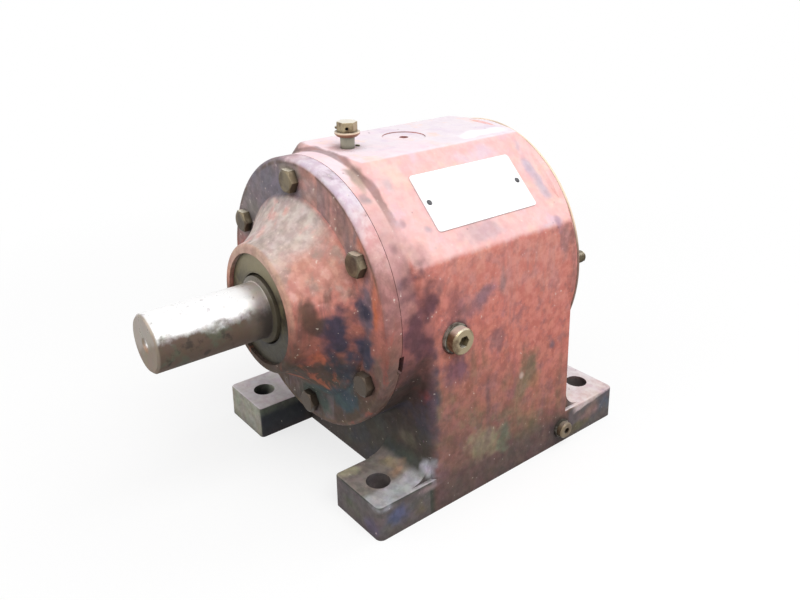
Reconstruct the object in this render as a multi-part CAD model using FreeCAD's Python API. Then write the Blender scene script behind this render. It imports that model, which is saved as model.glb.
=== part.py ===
import FreeCAD, Part
import math
import os
from collections import namedtuple

# Foot-mounted in-line helical gear unit, in millimetres.
# The output shaft points along -Y and up is +Z.
# The origin is the centre of the foot-bolt pattern on the base plane.

Stage = namedtuple("Stage", "module pinion wheel shift face")
Bearing = namedtuple("Bearing", "axis front width bore outside balls")
Key = namedtuple("Key", "width depth height start end")
Seal = namedtuple("Seal", "outside shaft front width")
Plug = namedtuple("Plug", "y height seat thread hole head head_height washer washer_radius socket")

# Outside of the housing
axis_height = 180.0
base_half_width = 133.0
shoulder_half_width = 121.0
shoulder_height = 236.0
top_half_width = 47.5
top_height = 305.0
box_front = -110.0
wall_front = -98.0
box_rear = 83.0
slope_start = 140.0
slope_end = 222.0
shoulder_round = 14.0
top_round = 9.0
front_round = 8.0
rear_round = 5.0
neck_round = 6.0
rim_start = 70.0
rim_full = 76.0
rim_radius = 126.5
rim_inner_start = 122.0
rim_outer_start = 136.0

# Inside of the housing
wall = 11.0
floor_thickness = 12.0
front_wall = 12.0
rear_wall = 9.0
middle_wall_front = -17.0
middle_wall_rear = 5.0
middle_wall_bottom = 118.0
middle_wall_opening = 39.0
lay_boss_radius = 29.0
lay_boss_front = -90.0
lay_boss_rear = 58.0
rear_opening = 67.0
drain_channel = (95.0, 118.0, 56.0, 72.0, 12.0, 24.0)

# Feet
foot_height = 34.0
foot_inner = 67.0
foot_front = -159.0
foot_rear = 157.0
foot_overlap = 20.0
foot_hole_x = 100.0
foot_hole_y = 135.0
foot_hole_radius = 11.0
foot_web_round = 22.0
foot_web_depth = 6.0
foot_web_margin = 3.0
foot_front_round = 6.0
foot_rear_round = 6.0
foot_inner_round = 4.0
foot_top_round = 2.0

# Output cover and the neck that carries it
neck_radius = 123.5
neck_bore = 94.0
neck_root = -40.0
parting = -126.0
gasket_thickness = 0.5
boss_face = -186.0
boss_face_radius = 54.0
boss_radius = 58.5
flare_start = (60.0, -176.0)
flare_middle = (74.0, -157.0)
flare_end = (91.0, -142.0)
bolt_seat = -140.0
bolt_seat_inner = 93.0
bolt_seat_outer = 119.5
spigot_rear = -118.0
spigot_inner = 86.0
cover_inside = (84.0, -124.0)
cover_hub_radius = 62.0
cover_hub_front = -143.0
seal_shelf_radius = 44.0
seal_shelf_front = -172.0

# Bolts of the output cover
bolt_circle = 105.0
bolt_count = 6
bolt_turn = 3.5
bolt_radius = 6.0
bolt_across_flats = 19.0
bolt_head_height = 7.5
bolt_crown_radius = 8.6
bolt_crown_height = 2.3
bolt_end = -106.0

# Pry slot in the joint between cover and neck
pry_slot_angle = -11.0
pry_slot_length = 17.0
pry_slot_width = 5.0
pry_slot_depth = 5.0

# Motor flange with its studs and countersunk screws
flange_radius = 127.0
flange_rear = 86.0
flange_edge = 0.6
flange_rim_front = 83.3
flange_seat = 76.0
flange_body_radius = 118.0
flange_body_gap = 0.3
flange_plug_front = 64.0
register_radius = 90.0
register_depth = 5.0
hub_radius = 47.0
hub_front = 35.5
hub_shelf_radius = 34.0
hub_groove = (36.2, 38.0)
hub_groove_radius = 39.0
fixing_count = 4
fixing_turn = 4.0
stud_circle = 107.5
stud_radius = 6.0
stud_root_radius = 6.6
stud_waist_radius = 5.4
stud_waist_from = 75.5
stud_waist_to = 86.5
stud_start = 56.0
stud_end = 114.0
stud_chamfer = 1.5
stud_boss_radius = 12.0
screw_radius = 4.0
screw_head_radius = 8.0
screw_start = 58.0
screw_sink = 0.5
screw_socket = 5.0
screw_socket_depth = 3.0
screw_boss_radius = 9.0
boss_front = 52.0

# Output shaft
shaft_radius = 25.0
shaft_length = 100.0
shaft_tip_chamfer = 2.0
journal_chamfer = 1.5
middle_radius = 33.0
collar_radius = 36.0
collar_front = -70.0
wheel_seat = 30.0
wheel_seat_end = -22.5
shaft_end = 9.0
shaft_end_chamfer = 1.0
coupling_key_width = 14.0
coupling_key_depth = 5.5
coupling_key_length = 80.0
coupling_key_inset = 8.0
coupling_key_angle = 38.0
centre_mark_radius = 6.0
centre_mark_depth = 5.0

# Intermediate shaft, with the second pinion cut in one piece
lay_seat = 21.0
lay_seat_from = 5.0
lay_seat_to = 40.0
pinion_margin = 2.0
lay_front_end = -79.5
lay_front_collar = 14.0
lay_pinion_neck = 15.0
lay_body_from = -15.0
lay_body_radius = 19.0
lay_rear_body = 17.0
lay_rear_shoulder = 13.0
lay_rear_step = 60.0
lay_rear_end = 75.0
lay_chamfer = 1.0

# Hollow input shaft, with the first pinion cut in one piece
input_end = 80.5
input_collar_radius = 26.0
input_spacer_radius = 27.0
motor_bore = 14.0
motor_bore_length = 60.0
motor_key_width = 8.0
motor_key_height = 17.3
motor_key_length = 50.0

# Gear train: both stages have one centre distance, so input and output shafts are in line
centre_distance = 94.0
offset_angle = 20.0
pressure_angle = 20.0
addendum = 0.95
dedendum = 1.25
flank_relief = 0.12
first_stage = Stage(module=2.0, pinion=29, wheel=62, shift=0.0, face=(11.0, 33.5))
second_stage = Stage(module=2.5, pinion=14, wheel=59, shift=0.2, face=(-58.0, -22.0))
first_web = (34.0, 54.0, 7.0)
second_web = (45.0, 64.0, 8.0)
wheel_key = Key(width=18.0, depth=7.0, height=11.0, start=-55.0, end=-25.0)
lay_key = Key(width=12.0, depth=5.0, height=8.0, start=13.0, end=32.0)

# Retaining rings
groove_width = 1.8
snap_thickness = 1.7
output_groove = (23.5, 5.2)
lay_groove_radius = 19.75
input_groove = (21.25, 72.1)
snap_openings = {"output": 5.0, "intermediate": 4.0, "input": 4.0}
output_snap_height = 5.0
small_snap_height = 4.0
hub_ring_radii = (38.8, 34.5)

# Breather
breather_y = -86.0
breather_thread = 5.0
breather_thread_length = 10.0
breather_stem_radius = 6.3
breather_stem_height = 10.4
breather_vent = 2.0
breather_collar_radius = 11.0
breather_collar_foot = 9.0
breather_collar_height = 4.0
breather_cap_flats = 15.5
breather_cap_height = 8.4
breather_cap_corner = 12.5
breather_crown_radius = 7.5
breather_crown_height = 5.0
breather_outlet = 1.4

# Threaded bush for a lifting eye, in its spot face on the top
eye_x = -3.0
eye_y = -21.0
eye_thread = 4.25
eye_depth = 20.0
insert_radius = 7.0
eye_seat_radius = 20.0
eye_seat_depth = 0.8
eye_boss_radius = 14.0
eye_boss_depth = 24.0

# Oil plugs in spot-faced seats on the +X side
level_plug = Plug(y=-70.0, height=165.0, seat=15.0, thread=10.0, hole=30.0, head=12.0, head_height=9.0,
                  washer=3.0, washer_radius=13.5, socket=5.8)
drain_plug = Plug(y=74.0, height=17.5, seat=11.0, thread=6.5, hole=20.0, head=8.5, head_height=6.0,
                  washer=2.5, washer_radius=9.5, socket=3.6)
plug_length = 14.0
plug_chamfer = 1.2
plug_socket_depth = 6.0

# Bare nameplate on the +X shoulder, with its rivets
plate_from = -71.0
plate_to = 45.0
plate_high = 22.0
plate_low = 77.0
plate_thickness = 1.0
plate_corner = 3.0
plate_lift = 0.05
rivet_inset = 6.0
rivet_radius = 1.5
rivet_head_radius = 2.6
rivet_crown_radius = 1.6
rivet_head_height = 0.9

# Clearances
press_gap = 0.03
running_gap = 0.06
hole_gap = 0.5
beyond = 200.0

# Directions, the two shaft axes as (x, z), and the sizes that follow from the dimensions above
across = FreeCAD.Vector(1, 0, 0)
along = FreeCAD.Vector(0, 1, 0)
up = FreeCAD.Vector(0, 0, 1)
mesh_angle = math.radians(-90.0 - offset_angle)
main = (0.0, axis_height)
lay = (centre_distance * math.cos(mesh_angle), axis_height + centre_distance * math.sin(mesh_angle))
shaft_tip = boss_face - shaft_length
lay_grooves = (first_stage.face[0] - 2.0, first_stage.face[1] + 0.2)
rivet_height = (plate_low + plate_high) / 2
rivet_places = (plate_from + rivet_inset, plate_to - rivet_inset)

output_front = Bearing(main, front=-168.0, width=22.0, bore=60.0, outside=110.0, balls=12)
output_rear = Bearing(main, front=-15.0, width=20.0, bore=50.0, outside=90.0, balls=11)
intermediate_front = Bearing(lay, front=-80.0, width=12.0, bore=20.0, outside=42.0, balls=9)
intermediate_rear = Bearing(lay, front=62.0, width=12.0, bore=20.0, outside=42.0, balls=9)
input_front = Bearing(main, front=38.0, width=16.0, bore=45.0, outside=75.0, balls=12)
input_rear = Bearing(main, front=56.0, width=16.0, bore=45.0, outside=75.0, balls=12)
output_seal = Seal(outside=50.0, shaft=output_front.bore / 2, front=-182.0, width=10.0)
input_seal = Seal(outside=31.0, shaft=input_rear.bore / 2, front=74.0, width=7.0)
seal_flange = 2.5
seal_rim = 4.0


def at(x, y, z):
    return FreeCAD.Vector(x, y, z)


def rod(radius, y_from, y_to, centre=main):
    return Part.makeCylinder(radius, y_to - y_from, at(centre[0], y_from, centre[1]), along)


def ring(outer, inner, y_from, y_to, centre=main):
    return rod(outer, y_from, y_to, centre).cut(rod(inner, y_from - 1, y_to + 1, centre))


def upright(radius, x, y, z_from, z_to):
    return Part.makeCylinder(radius, z_to - z_from, at(x, y, z_from), up)


def box(x_from, x_to, y_from, y_to, z_from, z_to):
    return Part.makeBox(x_to - x_from, y_to - y_from, z_to - z_from, at(x_from, y_from, z_from))


def hexagon(corner, middle, first, second, height):
    # A hexagonal prism standing on the plane of two directions, with one corner along the first
    points = []
    for side in range(7):
        angle = math.radians(60 * side)
        points.append(middle + first * (corner * math.cos(angle)) + second * (corner * math.sin(angle)))
    return Part.Face(Part.makePolygon(points)).extrude(height)


def on_circle(radius, degrees):
    angle = math.radians(degrees)
    return (main[0] + radius * math.cos(angle), main[1] + radius * math.sin(angle))


def bolt_places():
    return [on_circle(bolt_circle, 30 + bolt_turn + 360 / bolt_count * step) for step in range(bolt_count)]


def stud_places():
    return [on_circle(stud_circle, fixing_turn + 360 / fixing_count * step) for step in range(fixing_count)]


def screw_places():
    return [on_circle(stud_circle, 45 + fixing_turn + 360 / fixing_count * step)
            for step in range(fixing_count)]


def turned(start, steps, centre=main):
    # Steps are (radius, y) for a straight line, or (radius, y, radius, y) for an arc through the first point
    def place(point):
        return at(centre[0] + point[0], point[1], centre[1])
    edges = []
    here = start
    for step in steps:
        end = step[-2:]
        if len(step) == 4:
            edges.append(Part.Arc(place(here), place(step[:2]), place(end)).toShape())
        else:
            edges.append(Part.LineSegment(place(here), place(end)).toShape())
        here = end
    edges.append(Part.LineSegment(place(here), place(start)).toShape())
    face = Part.Face(Part.Wire(edges))
    return face.revolve(at(centre[0], 0, centre[1]), along, 360)


def prism_along_y(points, y_from, y_to):
    corners = [at(x, y_from, z) for x, z in points]
    return Part.Face(Part.makePolygon(corners + corners[:1])).extrude(along * (y_to - y_from))


def prism_along_x(points, x_from, x_to):
    corners = [at(x_from, y, z) for y, z in points]
    return Part.Face(Part.makePolygon(corners + corners[:1])).extrude(across * (x_to - x_from))


def rounded(shape, radius, wanted):
    return shape.makeFillet(radius, [edge for edge in shape.Edges if wanted(edge.CenterOfMass, edge)])


def side_at(height):
    return base_half_width - (base_half_width - shoulder_half_width) * height / shoulder_height


def section(inset, floor):
    # Outline across the shaft axis: drafted sides, sloping shoulders, flat top
    side_low = side_at(floor) - inset
    side_high = shoulder_half_width - inset
    top_edge = top_half_width - 0.4 * inset
    shoulder = shoulder_height - 0.4 * inset
    top = top_height - inset
    return [(-side_low, floor), (side_low, floor), (side_high, shoulder),
            (top_edge, top), (-top_edge, top), (-side_high, shoulder)]


def rear_edge_cut(side):
    # Rounds an upright rear edge along the side's draft
    edge = side * base_half_width
    inner = edge - side * rear_round
    outer = edge + side
    front = box_rear - rear_round
    lift = rear_round * (1 - math.sqrt(0.5))
    arc = Part.Arc(at(edge, front, 0), at(edge - side * lift, box_rear - lift, 0), at(inner, box_rear, 0))
    points = [at(inner, box_rear, 0), at(inner, box_rear + 1, 0), at(outer, box_rear + 1, 0),
              at(outer, front, 0), at(edge, front, 0)]
    face = Part.Face(Part.Wire([arc.toShape()] + Part.makePolygon(points).Edges))
    top = at(side * side_at(axis_height), 0, axis_height)
    return face.extrude(top - at(edge, 0, 0))


def turned_rear(block):
    # At the back the upper half is turned round, to the size of the motor flange
    start = at(main[0], rim_start, main[1])
    outside = Part.makeCone(rim_outer_start, rim_radius, box_rear - rim_start, start, along)
    corners = box(-beyond, beyond, rim_start, box_rear, axis_height, 2 * beyond).cut(outside)
    collar = turned((0, rim_start), [(rim_inner_start, rim_start), (rim_radius, rim_full),
                                     (rim_radius, box_rear), (0, box_rear)])
    block = block.cut(rear_edge_cut(-1)).cut(rear_edge_cut(1))
    return block.cut(corners).fuse(collar).removeSplitter()


def housing_block():
    block = prism_along_y(section(0, 0), box_front, box_rear)
    below = [(box_front - 1, -1), (wall_front, -1), (wall_front, slope_start), (box_front, slope_end),
             (box_front - 1, slope_end)]
    block = block.cut(prism_along_x(below, -beyond, beyond))

    def runs_lengthwise(edge):
        return abs(edge.tangentAt(edge.FirstParameter).y) > 0.99 and edge.Length > 100
    block = rounded(block, shoulder_round, lambda m, e: runs_lengthwise(e) and abs(m.z - shoulder_height) < 2)
    block = rounded(block, top_round, lambda m, e: runs_lengthwise(e) and abs(m.z - top_height) < 2)

    def on_front_outline(middle, edge):
        on_face = middle.y < wall_front + 0.5 and edge.BoundBox.ZMax > 1
        return on_face and (abs(middle.x) > 20 or abs(middle.z - top_height) < 1)
    return turned_rear(rounded(block, front_round, on_front_outline))


def block_with_neck():
    # The neck grows out of the block's front in a cast fillet
    shape = housing_block().fuse(rod(neck_radius, parting + gasket_thickness, neck_root)).removeSplitter()

    def on_neck(point):
        return abs(math.hypot(point.x - main[0], point.z - main[1]) - neck_radius) < 0.05

    def neck_meets_block(middle, edge):
        box_of = edge.BoundBox
        between = box_of.YMin > box_front - 5 and box_of.YMax < wall_front + 15
        return between and all(on_neck(vertex.Point) for vertex in edge.Vertexes)
    return rounded(shape, neck_round, neck_meets_block)


def foot(side, end):
    # side is +1 or -1 across the shaft, end is -1 at the output and +1 at the motor
    outer_low = side * base_half_width
    outer_high = side * side_at(foot_height)
    inner = side * foot_inner
    outline = [(inner, 0), (outer_low, 0), (outer_high, foot_height), (inner, foot_height)]
    if end < 0:
        lug = prism_along_y(outline, foot_front, wall_front + foot_overlap)
        tip = foot_front
        outer_round = foot_front_round
    else:
        lug = prism_along_y(outline, box_rear - foot_overlap, foot_rear)
        tip = foot_rear
        outer_round = foot_rear_round

    def upright_at_tip(middle):
        return abs(middle.y - tip) < 1 and abs(middle.z - foot_height / 2) < 1
    lug = rounded(lug, outer_round, lambda m, e: upright_at_tip(m) and abs(m.x) > foot_inner + 20)
    lug = rounded(lug, foot_inner_round, lambda m, e: upright_at_tip(m) and abs(m.x) < foot_inner + 1)
    return rounded(lug, foot_top_round, lambda m, e: abs(m.z - foot_height) < 0.5 and abs(m.y - tip) < 60)


def foot_web(side, end):
    # Concave sweep from the foot's top up the end wall
    face = wall_front if end < 0 else box_rear
    inner = side * foot_inner
    back = face - end * foot_web_depth
    top = foot_height + foot_web_round
    lift = foot_web_round * (1 - math.sqrt(0.5))
    start = at(inner, face + end * foot_web_round, foot_height)
    corner = at(inner, back, foot_height)
    rise = at(inner, back, top)
    finish = at(inner, face, top)
    middle = at(inner, face + end * lift, foot_height + lift)
    edges = [Part.LineSegment(start, corner).toShape(), Part.LineSegment(corner, rise).toShape(),
             Part.LineSegment(rise, finish).toShape(), Part.Arc(finish, middle, start).toShape()]
    reach = side * (side_at(top) - foot_inner - foot_web_margin)
    return Part.Face(Part.Wire(edges)).extrude(across * reach)


def foot_hole(side, end):
    return upright(foot_hole_radius, side * foot_hole_x, end * foot_hole_y, -1, foot_height + 1)


def foot_space(side, end):
    # Room outside the end wall that a foot and its web take up
    x_from, x_to = sorted((side * (foot_inner - 1), side * (base_half_width + 1)))
    top = foot_height + foot_web_round + 1
    if end < 0:
        return box(x_from, x_to, foot_front - 1, wall_front, -1, top)
    return box(x_from, x_to, box_rear, foot_rear + 1, -1, top)


def foot_lug(side, end):
    # A foot from the end wall outward, with its bolt hole and spot face
    shape = foot(side, end).fuse(foot_web(side, end)).common(foot_space(side, end))
    shape = shape.cut(foot_hole(side, end))
    if side > 0:
        shape = shape.cut(plug_hole(drain_plug))
    return shape.removeSplitter()


def gear_chamber():
    # Space inside the casting, with the bearing wall and bosses left standing
    chamber = prism_along_y(section(wall, floor_thickness), wall_front + front_wall, flange_seat - rear_wall)
    chamber = chamber.cut(box(-beyond, beyond, middle_wall_front, middle_wall_rear,
                              middle_wall_bottom, 2 * beyond))
    front_boss_end = intermediate_front.front + intermediate_front.width
    chamber = chamber.cut(rod(lay_boss_radius, lay_boss_front, front_boss_end, lay))
    chamber = chamber.cut(rod(lay_boss_radius, lay_boss_rear, flange_seat, lay))
    for place in stud_places():
        chamber = chamber.cut(rod(stud_boss_radius, boss_front, flange_seat, place))
    for place in screw_places():
        chamber = chamber.cut(rod(screw_boss_radius, boss_front, flange_seat, place))
    return chamber


def bearing_seats():
    rear = output_rear.outside / 2 + press_gap
    small = intermediate_front.outside / 2 + press_gap
    seats = rod(rear, output_rear.front, middle_wall_rear + 1)
    seats = seats.fuse(rod(middle_wall_opening, middle_wall_front - 1, middle_wall_rear + 1))
    seats = seats.fuse(rod(small, intermediate_front.front, intermediate_front.front + 20, lay))
    seats = seats.fuse(rod(small, lay_boss_rear - 1, flange_seat + 1, lay))
    seats = seats.fuse(rod(flange_body_radius + flange_body_gap, flange_seat, box_rear + 1))
    return seats.fuse(rod(rear_opening + press_gap, boss_front - 1, flange_seat + 1))


def pry_slot():
    middle = parting + gasket_thickness / 2
    cutter = box(neck_radius - pry_slot_depth, neck_radius + 5,
                 middle - pry_slot_width / 2, middle + pry_slot_width / 2,
                 axis_height - pry_slot_length / 2, axis_height + pry_slot_length / 2)
    cutter.rotate(at(0, 0, axis_height), along, -pry_slot_angle)
    return cutter


def plug_face(plug):
    # The seat is cut square to the plug, so it starts where the drafted side is narrowest
    return at(side_at(plug.height + plug.seat), plug.y, plug.height)


def plug_hole(plug):
    face = plug_face(plug)
    hole = Part.makeCylinder(plug.thread + press_gap, plug.hole, face - across * plug.hole, across)
    return hole.fuse(Part.makeCylinder(plug.seat, 20, face, across))


def housing():
    shape = block_with_neck()
    corners = [(side, end) for side in (-1, 1) for end in (-1, 1)]
    for side, end in corners:
        shape = shape.fuse(foot(side, end)).fuse(foot_web(side, end))
    for side, end in corners:
        shape = shape.cut(foot_space(side, end))
    shape = shape.cut(gear_chamber()).cut(bearing_seats())
    shape = shape.cut(rod(neck_bore, parting, wall_front + front_wall + 0.5))
    for place in bolt_places():
        shape = shape.cut(rod(bolt_radius + press_gap, parting, bolt_end + 2, place))
    for place in stud_places():
        shape = shape.cut(rod(stud_root_radius + press_gap, stud_start - 0.5, flange_seat + 1, place))
    for place in screw_places():
        shape = shape.cut(rod(screw_radius + press_gap, screw_start - 0.5, flange_seat + 1, place))
    shape = shape.cut(pry_slot()).cut(plug_hole(level_plug)).cut(plug_hole(drain_plug))
    shape = shape.cut(box(*drain_channel))
    above = top_height + 1
    eye_bottom = top_height - eye_depth
    shape = shape.cut(upright(breather_thread + press_gap, 0, breather_y, eye_bottom, above))
    shape = shape.cut(upright(eye_seat_radius, eye_x, eye_y, top_height - eye_seat_depth, above))
    shape = shape.fuse(upright(eye_boss_radius, eye_x, eye_y, top_height - eye_boss_depth, top_height - 4))
    shape = shape.cut(upright(insert_radius + press_gap, eye_x, eye_y, eye_bottom, above))
    return shape.removeSplitter()


def lifting_insert():
    bottom = top_height - eye_depth
    top = top_height - eye_seat_depth
    shape = upright(insert_radius, eye_x, eye_y, bottom, top)
    return shape.cut(upright(eye_thread, eye_x, eye_y, bottom - 1, top + 1))


def output_cover():
    seal_bore = output_seal.outside + press_gap
    bearing_bore = output_front.outside / 2 + press_gap
    bearing_end = output_front.front + output_front.width
    spigot = neck_bore - press_gap
    boss_round = boss_radius - boss_face_radius
    rim_round = neck_radius - bolt_seat_outer
    lift = 1 - math.sqrt(0.5)
    boss_middle = (boss_radius - lift * boss_round, boss_face + lift * boss_round)
    rim_middle = (neck_radius - lift * rim_round, bolt_seat + lift * rim_round)
    shape = turned((seal_bore, boss_face),
                   [(boss_face_radius, boss_face), boss_middle + (boss_radius, boss_face + boss_round),
                    flare_start, flare_middle + flare_end, (bolt_seat_inner, bolt_seat),
                    (bolt_seat_outer, bolt_seat), rim_middle + (neck_radius, bolt_seat + rim_round),
                    (neck_radius, parting),
                    (spigot, parting), (spigot, spigot_rear), (spigot_inner, spigot_rear), cover_inside,
                    (cover_hub_radius, cover_hub_front), (cover_hub_radius, bearing_end),
                    (bearing_bore, bearing_end), (bearing_bore, output_front.front),
                    (seal_shelf_radius, output_front.front), (seal_shelf_radius, seal_shelf_front),
                    (seal_bore, seal_shelf_front)])
    for place in bolt_places():
        shape = shape.cut(rod(bolt_radius + hole_gap, bolt_seat - 10, parting + 1, place))
    return shape.cut(pry_slot())


def cover_gasket():
    shape = ring(neck_radius - 1.0, neck_bore + 0.5, parting, parting + gasket_thickness)
    for place in bolt_places():
        shape = shape.cut(rod(bolt_radius + hole_gap, parting - 1, parting + 2, place))
    return shape.cut(pry_slot())


def cover_bolts():
    head_front = bolt_seat - bolt_head_height
    corner = bolt_across_flats / math.sqrt(3)
    bolts = []
    for place in bolt_places():
        head = hexagon(corner, at(place[0], head_front, place[1]), across, up, along * bolt_head_height)
        crown = turned((0, head_front), [(bolt_crown_radius, head_front),
                                         (corner + 1.6, head_front + bolt_crown_height),
                                         (corner + 1.6, bolt_seat), (0, bolt_seat)], place)
        bolts.append(head.common(crown).fuse(rod(bolt_radius, bolt_seat, bolt_end, place)))
    return Part.makeCompound(bolts)


def screw_cone(place, gap):
    depth = screw_head_radius - screw_radius
    start = at(place[0], flange_rear - screw_sink - depth, place[1])
    return Part.makeCone(screw_radius + gap, screw_head_radius + gap, depth, start, along)


def motor_flange():
    front = flange_seat + gasket_thickness
    bearing_bore = input_rear.outside / 2 + press_gap
    bearing_end = input_rear.front + input_rear.width
    seal_bore = input_seal.outside + press_gap
    register_face = flange_rear - register_depth
    plug_radius = rear_opening - press_gap
    shape = turned((bearing_bore, hub_front),
                   [(hub_radius, hub_front), (hub_radius, flange_plug_front),
                    (plug_radius, flange_plug_front), (plug_radius, front),
                    (flange_body_radius, front), (flange_body_radius, flange_rim_front),
                    (flange_radius - flange_edge, flange_rim_front),
                    (flange_radius, flange_rim_front + flange_edge),
                    (flange_radius, flange_rear - flange_edge),
                    (flange_radius - flange_edge, flange_rear), (register_radius, flange_rear),
                    (register_radius, register_face), (seal_bore, register_face),
                    (seal_bore, input_seal.front), (hub_shelf_radius, input_seal.front),
                    (hub_shelf_radius, bearing_end), (bearing_bore, bearing_end)])
    for place in stud_places():
        shape = shape.cut(rod(stud_radius + hole_gap, front - 1, flange_rear + 1, place))
    for place in screw_places():
        shape = shape.cut(rod(screw_radius + hole_gap, front - 1, flange_rear + 1, place))
        shape = shape.cut(screw_cone(place, 0.05))
        shape = shape.cut(rod(screw_head_radius + 0.05, flange_rear - screw_sink, flange_rear + 1, place))
    return shape.cut(ring(hub_groove_radius, hub_shelf_radius, *hub_groove))


def flange_gasket():
    shape = ring(flange_body_radius - 0.5, rear_opening + 0.5, flange_seat, flange_seat + gasket_thickness)
    for place in stud_places():
        shape = shape.cut(rod(stud_radius + hole_gap, flange_seat - 1, flange_seat + 2, place))
    for place in screw_places():
        shape = shape.cut(rod(screw_radius + hole_gap, flange_seat - 1, flange_seat + 2, place))
    return shape


def motor_studs():
    # A waisted stud: the root is screwed into the housing, the free end carries the motor
    profile = [(stud_root_radius, stud_start), (stud_root_radius, stud_waist_from),
               (stud_waist_radius, stud_waist_from), (stud_waist_radius, stud_waist_to),
               (stud_radius, stud_waist_to), (stud_radius, stud_end - stud_chamfer),
               (stud_radius - stud_chamfer, stud_end), (0, stud_end)]
    return Part.makeCompound([turned((0, stud_start), profile, place) for place in stud_places()])


def flange_screws():
    cone_start = flange_rear - screw_sink - (screw_head_radius - screw_radius)
    screws = []
    for place in screw_places():
        body = screw_cone(place, 0.0).fuse(rod(screw_radius, screw_start, cone_start, place))
        socket = at(place[0], flange_rear - screw_socket_depth, place[1])
        corner = screw_socket / math.sqrt(3)
        screws.append(body.cut(hexagon(corner, socket, across, up, along * screw_socket_depth)))
    return Part.makeCompound(screws)


def flank_half_angle(radius, teeth, module, helix, shift):
    transverse = math.atan(math.tan(math.radians(pressure_angle)) / math.cos(helix))
    pitch = module * teeth / math.cos(helix) / 2
    base = pitch * math.cos(transverse)
    here = math.acos(min(1.0, base / max(radius, base)))
    widened = math.pi / 2 + 2 * shift * math.tan(math.radians(pressure_angle))
    half = widened / teeth - flank_relief / pitch
    return half + (math.tan(transverse) - transverse) - (math.tan(here) - here)


def gear(stage, teeth, shift, centre, face, tooth_at, hand, slices):
    # Helical gear: tooth outlines turned in steps along the face, joined by ruled strips
    module = stage.module
    helix = math.acos(module * (stage.pinion + stage.wheel) / (2 * centre_distance))
    pitch = module * teeth / math.cos(helix) / 2
    tip = pitch + module * (addendum + shift)
    root = pitch - module * (dedendum - shift)
    radii = (root, (root + tip) / 2, tip)
    halves = [flank_half_angle(radius, teeth, module, helix, shift) for radius in radii]

    def outline_at(y):
        twist = hand * math.tan(helix) * (y - (face[0] + face[1]) / 2) / pitch

        def point(radius, angle):
            return at(centre[0] + radius * math.cos(angle), y, centre[1] + radius * math.sin(angle))
        edges = []
        for tooth in range(teeth):
            middle = tooth_at + twist + 2 * math.pi * tooth / teeth
            rising = [point(radius, middle - half) for radius, half in zip(radii, halves)]
            falling = [point(radius, middle + half) for radius, half in zip(radii, halves)]
            next_root = point(root, middle + 2 * math.pi / teeth - halves[0])
            edges.append(Part.Arc(*rising).toShape())
            edges.append(Part.LineSegment(rising[2], falling[2]).toShape())
            edges.append(Part.Arc(*reversed(falling)).toShape())
            edges.append(Part.LineSegment(falling[0], next_root).toShape())
        return edges
    step = (face[1] - face[0]) / slices
    outlines = [outline_at(face[0] + step * part) for part in range(slices + 1)]
    strips = [Part.Face(Part.Wire(outlines[0])), Part.Face(Part.Wire(outlines[-1]))]
    for near, far in zip(outlines, outlines[1:]):
        strips += [Part.makeRuledSurface(one, other) for one, other in zip(near, far)]
    skin = Part.makeCompound(strips)
    skin.sewShape()
    solid = Part.Solid(skin.Shells[0])
    return solid if solid.Volume > 0 else solid.reversed()


def gap_toward_mate(teeth):
    # A wheel on the main axis has a tooth on the line of centres, so its mate has a gap there
    return mesh_angle + math.pi + math.pi / teeth


def key_shape(centre, seat, key):
    # A round-ended key lying across the joint between shaft and wheel, on the +X side
    reach = key.width / 2
    bottom = centre[0] + seat - key.depth
    ends = (key.start + reach, key.end - reach)
    shape = box(bottom, bottom + key.height, *ends, centre[1] - reach, centre[1] + reach)
    for y in ends:
        shape = shape.fuse(Part.makeCylinder(reach, key.height, at(bottom, y, centre[1]), across))
    return shape


def key_with_play(centre, seat, key):
    return key_shape(centre, seat, Key(key.width - 0.04, key.depth - 0.05, key.height - 0.1,
                                       key.start + 0.02, key.end - 0.02))


def bored_wheel(blank, centre, bore, face, web, key):
    web_inner, web_outer, web_depth = web
    shape = blank.cut(rod(bore + press_gap, face[0] - 1, face[1] + 1, centre))
    shape = shape.cut(ring(web_outer, web_inner, face[0] - 1, face[0] + web_depth, centre))
    shape = shape.cut(ring(web_outer, web_inner, face[1] - web_depth, face[1] + 1, centre))
    through = Key(key.width, key.depth, key.height + 0.2, face[0] - key.width, face[1] + key.width)
    return shape.cut(key_shape(centre, bore, through))


def output_wheel():
    stage = second_stage
    blank = gear(stage, stage.wheel, -stage.shift, main, stage.face, mesh_angle, 1, 2)
    return bored_wheel(blank, main, wheel_seat, stage.face, second_web, wheel_key)


def intermediate_wheel():
    stage = first_stage
    blank = gear(stage, stage.wheel, -stage.shift, lay, stage.face, gap_toward_mate(stage.wheel), 1, 2)
    return bored_wheel(blank, lay, lay_seat, stage.face, first_web, lay_key)


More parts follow.
